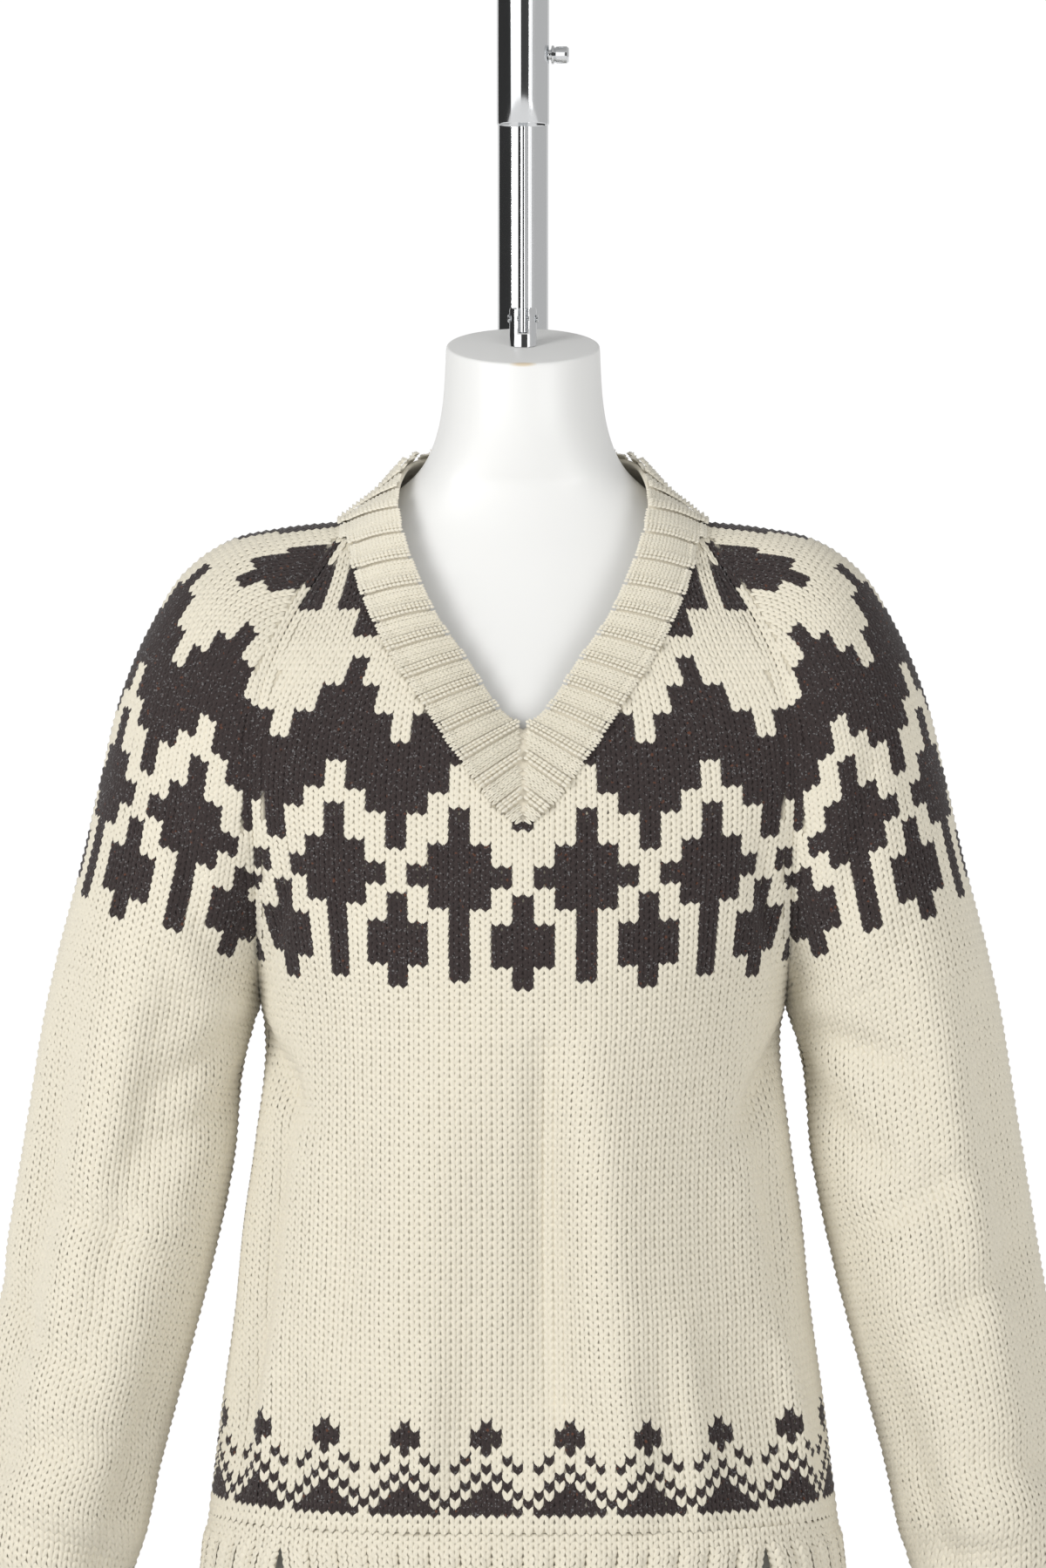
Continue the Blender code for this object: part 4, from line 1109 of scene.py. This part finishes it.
points, spots = panel_grid(back_row, PANEL_HEIGHTS, BACK_CREASES, PANEL_SIZE, flip=True)
places = stitch_places(points, spots, PANEL_HEIGHTS, body_chart)
back_stitches = knitted("back_stitches", places, v_stitch, wool, "back")

heights, rows = shell_rows(PANEL_HEIGHTS)
points, spots = panel_grid(back_row, heights, BACK_CREASES, PANEL_SIZE, flip=True)
points = points[:, ::2]
dark = panel_dark(arc_lengths(points), heights, rows, body_chart)
back = walled("back_knit", [shell(points, dark, every, every)], painted_shade_wool, "back")

# Sleeves
# Two raglan sleeves in the same knit, each one piece sewn into a tube along the underarm. Above it they taper
# to the neckline, between the front and the back, and they carry the yoke's pattern over the shoulders.

SLEEVE = Table(
    "share outer_x outer_z inner_x inner_z half_depth",
    (0.00, 0.2650, 0.5025, 0.1510, 0.4675, 0.0700),
    (0.10, 0.2730, 0.4675, 0.1600, 0.4375, 0.0680),
    (0.26, 0.2830, 0.4075, 0.1660, 0.3810, 0.0660),
    (0.43, 0.2930, 0.3475, 0.1780, 0.3225, 0.0640),
    (0.60, 0.3030, 0.2875, 0.1930, 0.2640, 0.0620),
    (0.77, 0.3120, 0.2290, 0.2080, 0.2060, 0.0600),
    (0.91, 0.3195, 0.1780, 0.2200, 0.1560, 0.0570),
    (0.97, 0.3210, 0.1530, 0.2300, 0.1330, 0.0490),
    (1.00, 0.3140, 0.1380, 0.2430, 0.1200, 0.0400),
)
TUBE_ROWS = 80
SLEEVE_SIZE = (0.20, 0.36)
SLEEVE_CREASES = {
    "right": Table(
        "from_across from_height to_across to_height width depth",
        (-0.92, -0.02, -0.50, -0.16, 0.013, 0.0062),
        (-0.95, -0.10, -0.58, -0.32, 0.014, 0.0056),
        (-0.52, 0.06, -0.46, -0.60, 0.018, 0.0056),
        (-0.16, -0.10, -0.12, -0.86, 0.022, 0.0050),
        (-0.80, -0.40, -0.30, -0.32, 0.012, 0.0040),
        (-0.66, -0.58, -0.10, -0.46, 0.014, 0.0038),
        (-0.78, -0.60, -0.70, -0.96, 0.014, 0.0048),
        (0.90, -0.05, 0.50, -0.18, 0.013, 0.0060),
        (0.84, -0.40, 0.30, -0.52, 0.014, 0.0050),
        (0.40, -0.20, 0.36, -0.90, 0.020, 0.0050),
        (-0.50, -0.78, 0.00, -0.85, 0.014, 0.0040),
        (-0.20, -0.94, 0.50, -0.90, 0.011, 0.0044),
        (-0.86, -0.90, -0.40, -0.95, 0.011, 0.0040),
        (-0.78, 0.12, -0.62, 0.42, 0.014, 0.0036),
    ),
    "left": Table(
        "from_across from_height to_across to_height width depth",
        (-0.90, -0.03, -0.56, -0.20, 0.013, 0.0060),
        (-0.94, -0.14, -0.50, -0.30, 0.014, 0.0054),
        (-0.56, 0.04, -0.50, -0.66, 0.017, 0.0058),
        (-0.20, -0.06, -0.17, -0.90, 0.021, 0.0050),
        (-0.74, -0.44, -0.24, -0.38, 0.013, 0.0040),
        (-0.52, -0.66, 0.06, -0.52, 0.014, 0.0036),
        (-0.80, -0.55, -0.74, -0.96, 0.015, 0.0050),
        (0.92, -0.03, 0.56, -0.22, 0.013, 0.0058),
        (0.78, -0.34, 0.34, -0.48, 0.014, 0.0050),
        (0.34, -0.16, 0.40, -0.86, 0.021, 0.0048),
        (-0.62, -0.74, -0.10, -0.83, 0.014, 0.0042),
        (0.00, -0.95, 0.60, -0.88, 0.012, 0.0042),
        (-0.90, -0.94, -0.36, -0.90, 0.011, 0.0044),
        (-0.74, 0.10, -0.60, 0.36, 0.014, 0.0036),
    ),
}
tube_heights = (np.arange(TUBE_ROWS) + 0.5) / TUBE_ROWS - 1
SLEEVE_HEIGHTS = np.concatenate((tube_heights, yoke_heights))
MIRROR = np.array((-1.0, 1.0, 1.0))


def sleeve_row(height, turn):
    if height >= 0:
        return cap_row(height, turn)
    row = SLEEVE.all(-height)
    outer, inner = (row["outer_x"], row["outer_z"]), (row["inner_x"], row["inner_z"])
    return ring(outer, inner, row["half_depth"], 180, turn, dip(SLEEVE_FOLDS, turn, -height))


def sleeve_chart(row, number):
    return yoke_dark(SLEEVE_YOKE, row - TUBE_ROWS, number)


def on_side(points, side):
    """A right sleeve's grid, or its mirror image with its columns turned round."""
    return points if side == "right" else points[:, ::-1] * MIRROR


for side in ("left", "right"):
    node = f"sleeve_{side}"
    creases = SLEEVE_CREASES[side]
    points, spots = panel_grid(sleeve_row, SLEEVE_HEIGHTS, creases, SLEEVE_SIZE)
    points = on_side(points, side)
    places = stitch_places(points, spots, SLEEVE_HEIGHTS, sleeve_chart, seams=SLEEVE_HEIGHTS > 0)
    stitches = knitted(f"{node}_stitches", places, v_stitch, wool, node)
    # Up to the underarm the wall closes on itself
    heights, rows = shell_rows(SLEEVE_HEIGHTS)
    underarm = int(np.argmin(np.abs(heights)))
    heights[underarm] = 0.0
    points, spots = panel_grid(sleeve_row, heights, creases, SLEEVE_SIZE)
    points = on_side(points, side)[:, ::2]
    points[: underarm + 1, -1] = points[: underarm + 1, 0]
    opened = heights > 0
    dark = panel_dark(arc_lengths(points), heights, rows, sleeve_chart)
    tube = walled(f"{node}_knit", [shell(points, dark, opened, opened)], painted_shade_wool, node)

# Hem ribs
# Ribs knitted down from the front and the back. They are parted by a vent at each front corner, whose edges
# are left to spread a little.

HEM_LENGTH = 0.061
HEM_FLARE = 1.035
HEM_GAP = 0.0005
EDGE_POINTS = 121
HEM_POINTS = 241
VENT_X = 0.136
VENT_START = 0.20
VENT_HALF_WIDTH = 0.0075
VENT_CURVE = 0.6
RIB_COLUMNS = 3
RIB_ROWS = 14
RIB_OVERLAP = 1.06
RIB_RISE = 0.0020
RIB_CURVE = 0.6
GROOVE_DROP = 0.0012
GROOVE_SHARE = 0.03
# The first row of the rib lies as flat as the plain knit that it hangs from. Over the next share of its
# length the rib swells up.
RIB_FLAT = 0.10
RIB_START = 0.16
RIB_WALL_LEVELS = np.array((1.0, 0.6, RIB_FLAT + RIB_START, RIB_FLAT, 0.0))
RIB_WALL_STEPS = 4


def length_of(line):
    return float(np.linalg.norm(np.diff(line, axis=0), axis=1).sum())


def along_line(line, shares):
    """Points at these shares of a line's length."""
    reach = np.concatenate(([0.0], np.cumsum(np.linalg.norm(np.diff(line, axis=0), axis=1))))
    return read_rows(line[None], reach[None], shares[None] * reach[-1])[0]


def swelled(line_at, shares, ribs, steps):
    """A grid over the band at these shares of its length, in so many steps a rib, with its ribs swelled."""
    spots = np.linspace(0, 1, ribs * steps + 1)
    grid = np.array([along_line(line_at(share), spots) for share in shares])
    phase = np.linspace(0, ribs, len(spots)) % 1
    groove = np.abs(phase - 0.5) > 0.5 - GROOVE_SHARE
    profile = RIB_RISE * np.abs(np.sin(math.pi * phase)) ** RIB_CURVE - GROOVE_DROP * groove
    swell = np.clip((shares - RIB_FLAT) / RIB_START, 0, 1)[:, None]
    return grid + grid_normals(grid) * (swell * profile)[..., None]


def ribbed(node, line_at, ribs, length, closed):
    """A ribbed band. line_at gives its line, along the ribs' feet, at a share of the way from its sewn edge.

    The line runs to the right as seen from outside with the sewn edge on top.
    """
    shares = (np.arange(RIB_ROWS) + 0.5) / RIB_ROWS
    grid = swelled(line_at, shares[::-1], ribs, 2 * RIB_COLUMNS)
    at = grid[:, 1::2]
    ahead = grid[:, 2::2] - grid[:, :-2:2]
    up = np.gradient(at, axis=0)
    columns = at.shape[1]
    i, j = np.divmod(np.arange(RIB_ROWS * columns), columns)
    width = np.linalg.norm(ahead[i, j], axis=1) * RIB_OVERLAP
    height = np.full(len(i), length / RIB_ROWS)
    cell = np.stack((j / columns, i / RIB_ROWS), axis=1)
    places = frame_places(at[i, j], ahead[i, j], up[i, j], width, height, np.zeros(len(i)), cell)
    places["cells"] = (columns, RIB_ROWS)
    stitches = knitted(f"{node}_stitches", places, v_stitch, wool, node)
    grid = swelled(line_at, RIB_WALL_LEVELS, ribs, RIB_WALL_STEPS)
    if closed:
        grid[:, -1] = grid[:, 0]
    ends = np.full(len(grid), not closed)
    wall = shell(grid, np.zeros(grid.shape[:2]), ends, ends)
    return walled(f"{node}_knit", [wall], painted_shade_wool, node), stitches


def hem_row(line, drop):
    """A hem rib's line at this share of its length. It flares, and below the vent's start its ends part."""
    flare = 1 + (HEM_FLARE - 1) * drop
    row = line * np.array((flare, flare, 1.0)) - np.array((0, 0, HEM_GAP + HEM_LENGTH * drop))
    opening = VENT_HALF_WIDTH * (max(0.0, drop - VENT_START) / (1 - VENT_START)) ** VENT_CURVE
    trim = opening / length_of(row)
    return along_line(row, np.linspace(trim, 1 - trim, HEM_POINTS))


# The body's lower edge from the middle of the front round the right side to the middle of the back
spots = np.linspace(0, 1, EDGE_POINTS)
half = np.concatenate((body_row("front", 1.0, spots), body_row("back", 1.0, spots[::-1])[1:]))
corner = int(np.argmax(half[:, 0] > VENT_X))
share = (VENT_X - half[corner - 1, 0]) / (half[corner, 0] - half[corner - 1, 0])
vent = half[corner - 1] + (half[corner] - half[corner - 1]) * share
front_half = np.concatenate((half[:corner], [vent]))
back_half = np.concatenate(([vent], half[corner:]))
hem_lines = {
    "hem_front": np.concatenate((front_half[::-1] * MIRROR, front_half[1:])),
    "hem_back": np.concatenate((back_half, (back_half * MIRROR)[-2::-1])),
}
for node, line in hem_lines.items():
    ribs = round(length_of(line) / (RIB_COLUMNS * GAUGE))
    band, stitches = ribbed(node, lambda drop: hem_row(line, drop), ribs, HEM_LENGTH, closed=False)

# Cuffs
# Ribbed ends knitted on to the sleeves in the same wool and drawn in to the wrist. Each is sewn closed along
# its sleeve's own seam.

CUFF_LENGTH = 0.060
CUFF_LEAN = 0.2
CUFF_DRAW = 0.9
CUFF_POINTS = 121


def cuff_row(side, share):
    """A cuff's line at this share of its length, closed on itself."""
    row = on_side(sleeve_row(-1.0, np.linspace(-1, 1, CUFF_POINTS))[None], side)[0]
    row[-1] = row[0]
    outward = CUFF_LEAN if side == "right" else -CUFF_LEAN
    return row + np.array((outward, 0.0, -math.sqrt(1 - CUFF_LEAN**2))) * CUFF_LENGTH * share


for side in ("left", "right"):
    node = f"cuff_{side}"
    ribs = round(length_of(cuff_row(side, 0.0)) / (RIB_COLUMNS * GAUGE * CUFF_DRAW))
    band, stitches = ribbed(node, lambda share: cuff_row(side, share), ribs, CUFF_LENGTH, closed=True)

# Neckband
# A band in finer yarn, its stitches picked up round the neckline, so that its ribs run across it. Its two
# ends are mitred at the point of the v.

BAND_EDGE = Table(
    "share x y z",
    (0.00, 0.0000, -0.0925, 0.6260),
    (0.10, 0.0135, -0.0905, 0.6355),
    (0.24, 0.0335, -0.0830, 0.6655),
    (0.36, 0.0500, -0.0750, 0.6895),
    (0.47, 0.0615, -0.0650, 0.7147),
    (0.56, 0.0690, -0.0540, 0.7360),
    (0.64, 0.0725, -0.0390, 0.7560),
    (0.70, 0.0715, -0.0200, 0.7690),
    (0.76, 0.0665, 0.0050, 0.7790),
    (0.84, 0.0535, 0.0290, 0.7840),
    (0.92, 0.0300, 0.0460, 0.7860),
    (1.00, 0.0000, 0.0525, 0.7865),
)
BAND_RIB = 0.019
BAND_CROWN = 0.0025
CROWN_CURVE = 0.7
# The share of the band's width at which its crown has risen from the sewn edge, and that at which it ends
CROWN_LOW = 0.02
CROWN_HIGH = 0.94
# Every rib is a plain strip and a ridge of thicker columns. The phases say where in the rib its columns lie.
STRIP_PHASES = (0.06, 0.18, 0.30, 0.42, 0.54)
STRIP_SHARE = 0.126
STRIP_THICK = 0.0017
STRIP_ROWS = 16
CORD_PHASES = (0.68, 0.80, 0.92)
CORD_SHARE = 0.105
CORD_THICK = 0.0026
CORD_ROWS = 15
CORD_RISE = 0.0018
BAND_YARN_SINK = 0.0003
# The band overlaps the panels by this share of its width
OVERLAP = 0.03
OVERLAP_RISE = 0.0010
OVERLAP_END = 0.1
# The wall lies this far under the stitches
BAND_SINK = 0.0001
# Steps along the edge in every rib of stitches, and how many of them the wall passes over
FINE = 32
WALL_STEP = 8
# The free edge rolls inwards
ROLL = 0.0014
ROLL_SHARE = 0.07
ROLL_TURN = math.radians(100)
# For the stitches, the free edge goes on past the point of the v, so that their columns stand square to the
# band, and those columns end at the mitre on the middle line.
MITRE_REACH = 0.044
MITRE_GAP = 0.0014
# The free edge's direction at the point of the v is read over this many of its points
TIP_POINTS = 9
# The wall's sections lie as the stitch columns do, but from the first of these shares of the edge down to the
# second they close on the point of the v.
CLOSING_START = 0.42
CLOSING_END = 0.17
V_POINTS = 60
SHOULDER_POINTS = 31
NAPE_POINTS = 41
FREE_POINTS = 400
BAND_LEVELS = 9

v_line = np.array([front_row(h, np.array([v_edge(h)]))[0] for h in np.linspace(V_SHARE, 1, V_POINTS)])
shoulder = cap_row(1.0, np.linspace(-1, 1, SHOULDER_POINTS))
nape = yoke_row(YOKE_BACK, 1.0, np.linspace(1, 0, NAPE_POINTS))
sewn_edge = [v_line[:1]]
band_ribs = 0
for part in (v_line, shoulder, nape):
    ribs = round(length_of(part) / BAND_RIB)
    sewn_edge.append(along_line(part, np.linspace(0, 1, ribs * FINE + 1))[1:])
    band_ribs += ribs
sewn_edge = np.concatenate(sewn_edge)
free_line = np.array([BAND_EDGE.read(axis, np.linspace(0, 1, FREE_POINTS)) for axis in "xyz"]).T
places_along = np.linspace(0, 1, len(sewn_edge))
run = free_line[0] - free_line[TIP_POINTS]
square_line = np.concatenate(([free_line[0] + run / np.linalg.norm(run) * MITRE_REACH], free_line))
square_edge = along_line(square_line, places_along)
extra = MITRE_REACH / length_of(free_line)
near_point = np.clip((CLOSING_START - places_along) / (CLOSING_START - CLOSING_END), 0, 1)
square_shares = np.maximum(0, places_along * (1 + extra) - extra)
free_edge = along_line(free_line, square_shares * (1 - near_point) + places_along * near_point)


def band_half(shares):
    """The right half of the band, from the point of the v to the nape. Past a share of 1 it rolls inwards."""
    flat = np.array([sewn_edge * (1 - s) + square_edge * s for s in np.minimum(shares, 1)])
    base = np.array([sewn_edge, square_edge])
    normals = np.repeat(grid_normals(base).mean(axis=0)[None], len(shares), axis=0)
    crown = BAND_CROWN * np.sin(math.pi * np.clip(shares, CROWN_LOW, CROWN_HIGH)) ** CROWN_CURVE
    crown += OVERLAP_RISE * (shares < OVERLAP_END)
    inward = (square_edge - sewn_edge) / np.linalg.norm(square_edge - sewn_edge, axis=1, keepdims=True)
    turn = np.clip((shares - 1) / ROLL_SHARE, 0, 1)[:, None, None] * ROLL_TURN
    rolled = inward * np.sin(turn) * ROLL - normals * (1 - np.cos(turn)) * ROLL
    return flat + normals * crown[:, None, None] + rolled


def band_places(phases, width, rows, rise, thick):
    """Stitches in columns across the band, at these phases of every rib. width is a share of a rib."""
    grid = band_half(-OVERLAP + (1 + ROLL_SHARE + OVERLAP) * (np.arange(rows) + 0.5) / rows)
    up = np.gradient(grid, axis=0)
    ahead = np.gradient(grid, axis=1)
    out = grid_normals(grid)
    picked = np.array([round((rib + phase) * FINE) for rib in range(band_ribs) for phase in phases])
    i, j = np.nonzero(grid[:, picked, 0] > MITRE_GAP)
    spot = (i, picked[j])
    place, way, wale = grid[spot] + out[spot] * rise, ahead[spot], up[spot]
    across = np.linalg.norm(way, axis=1) * FINE * width
    right = np.stack((j / len(picked) / 2, i / rows), axis=1)
    places = frame_places(
        np.concatenate((place, place * MIRROR)),
        np.concatenate((way, -way * MIRROR)),
        np.concatenate((wale, wale * MIRROR)),
        np.tile(across, 2),
        np.tile(np.linalg.norm(wale, axis=1), 2),
        np.zeros(2 * len(i)),
        np.concatenate((right, right + np.array((0.5, 0)))),
        thick=thick,
        sink=BAND_YARN_SINK,
    )
    places["cells"] = (2 * len(picked), rows)
    return places


fine_wool = wool_material("Finer wool of the neckband", (0.73, 0.69, 0.59), (0.68, 0.64, 0.53))
# The neckband's wall is its wool painted darker, as painted shade between its stitches
painted_shade_fine_wool = wool_material("Neckband between the stitches", (0.69, 0.64, 0.53), (0.64, 0.59, 0.48))
cord_stitch = stitch_object("cord_stitch", [leg((0.0, -0.62), (0.0, 0.62), 0.48)], (-0.6, -0.7), (0.6, 0.7))
places = band_places(STRIP_PHASES, STRIP_SHARE, STRIP_ROWS, 0.0, STRIP_THICK)
band_plain = knitted("neckband_stitches", places, v_stitch, fine_wool, "neckband")
places = band_places(CORD_PHASES, CORD_SHARE, CORD_ROWS, CORD_RISE, CORD_THICK)
band_cords = knitted("neckband_ridges", places, cord_stitch, fine_wool, "neckband")

# The wall goes from the nape round the wearer's right side to the point of the v, and back to the nape
shares = np.linspace(0, 1, BAND_LEVELS)
rows = [sewn_edge * (1 - share) + free_edge * share for share in shares]
grid = np.array([np.concatenate((row[::-1] * MIRROR, row[1:])) for row in rows])
crown = BAND_CROWN * np.sin(math.pi * np.clip(shares, CROWN_LOW, 1)) ** CROWN_CURVE - BAND_SINK
grid = (grid + grid_normals(grid) * crown[:, None, None])[:, ::WALL_STEP]
grid[:, -1] = grid[:, 0]
closed_ends = np.zeros(len(grid), bool)
wall = shell(grid, np.zeros(grid.shape[:2]), closed_ends, closed_ends)
neckband = walled("neckband_knit", [wall], painted_shade_fine_wool, "neckband")
for stitch_shape, cell_places in (v_stitch, cord_stitch):
    bpy.data.objects.remove(stitch_shape)

# Floor, light and camera
# A white studio: the part stands on a pale floor, lit by the white room, a large soft light high at the front
# left, a weaker one at the right, and strips that draw streaks on the chrome.

FLOOR_RADIUS = 0.9
FLOOR_SIDES = 96
floor_material, tree, shader = new_material("Pale floor", Base_Color=(0.86, 0.86, 0.86, 1.0), Roughness=0.7)
bpy.ops.mesh.primitive_circle_add(
    vertices=FLOOR_SIDES, radius=FLOOR_RADIUS, fill_type="NGON", location=(0, 0, 0)
)
floor = bpy.context.object
floor.name = "floor"
floor.data.materials.append(floor_material)

# The room is darker overhead than round the part, and pure white behind it
world = bpy.data.worlds.new("White room")
scene = bpy.context.scene
scene.world = world
world.use_nodes = True
tree = world.node_tree
way = add_node(tree, "ShaderNodeTexCoord").outputs["Generated"]
height = {"Value": add_node(tree, "ShaderNodeSeparateXYZ", {"Vector": way}).outputs["Z"]}
room = add_node(tree, "ShaderNodeMapRange", height, From_Min=-0.1, From_Max=0.9, To_Min=0.81, To_Max=0.40)
seen = add_node(tree, "ShaderNodeLightPath").outputs["Is Camera Ray"]
strength = add_node(tree, "ShaderNodeMix", {"Factor": seen, "A": room.outputs["Result"], "B": 1.02})
background = tree.nodes["Background"]
background.inputs["Color"].default_value = (1, 1, 1, 1)
tree.links.new(strength.outputs["Result"], background.inputs["Strength"])


def soft_light(name, place, target, size, power):
    light = bpy.data.lights.new(name, "AREA")
    light.shape = "RECTANGLE"
    light.size, light.size_y = size
    light.energy = power
    lamp = add_object(name, light)
    lamp.location = place
    lamp.rotation_euler = (Vector(target) - Vector(place)).to_track_quat("-Z", "Y").to_euler()


soft_light("key", (-2.3, -2.3, 1.5), (0.0, 0.0, 0.5), (1.1, 1.8), 70)
soft_light("fill", (2.1, -2.7, 0.7), (0.0, 0.0, 0.4), (1.6, 1.6), 34)

CARD_RADIUS = 2.9
CARD_HEIGHTS = (0.1, 2.6)
CARD_POINTS = 13


def card(name, start, end, shade):
    """A curved board round the part, seen only in reflections. Angles run from the camera to the right."""
    turns = np.radians(np.linspace(start, end, CARD_POINTS))
    points = [(CARD_RADIUS * math.sin(t), -CARD_RADIUS * math.cos(t), z) for z in CARD_HEIGHTS for t in turns]
    faces = [(k, k + 1, len(turns) + k + 1, len(turns) + k) for k in range(len(turns) - 1)]
    mesh = bpy.data.meshes.new(name)
    mesh.from_pydata(points, [], faces)
    material, tree, shader = new_material(
        f"Board {name}",
        Base_Color=(0.0, 0.0, 0.0, 1.0),
        Roughness=1.0,
        Specular_IOR_Level=0.0,
        Emission_Color=(shade, shade, shade, 1.0),
        Emission_Strength=1.0,
    )
    mesh.materials.append(material)
    board = add_object(name, mesh)
    board.visible_camera = False
    board.visible_shadow = False
    board.visible_diffuse = False


card("dark_left", -140, -56, 0.035)
card("white_left", -54, -10, 1.3)
card("dark_middle", -9, 27, 0.06)
card("white_right", 30, 42, 1.1)
card("grey_right", 42, 142, 0.52)

CAMERA_DISTANCE = 4.5
CAMERA_HEIGHT = 0.595
VIEW_HEIGHT = 0.8995
SENSOR_HEIGHT = 36.0
camera_data = bpy.data.cameras.new("camera")
camera_data.sensor_fit = "VERTICAL"
camera_data.sensor_height = SENSOR_HEIGHT
camera_data.lens = SENSOR_HEIGHT * CAMERA_DISTANCE / VIEW_HEIGHT
camera = add_object("camera", camera_data)
camera.location = (0.0, -CAMERA_DISTANCE, CAMERA_HEIGHT)
camera.rotation_euler = (math.pi / 2, 0, 0)
scene.camera = camera
scene.view_settings.view_transform = "Standard"
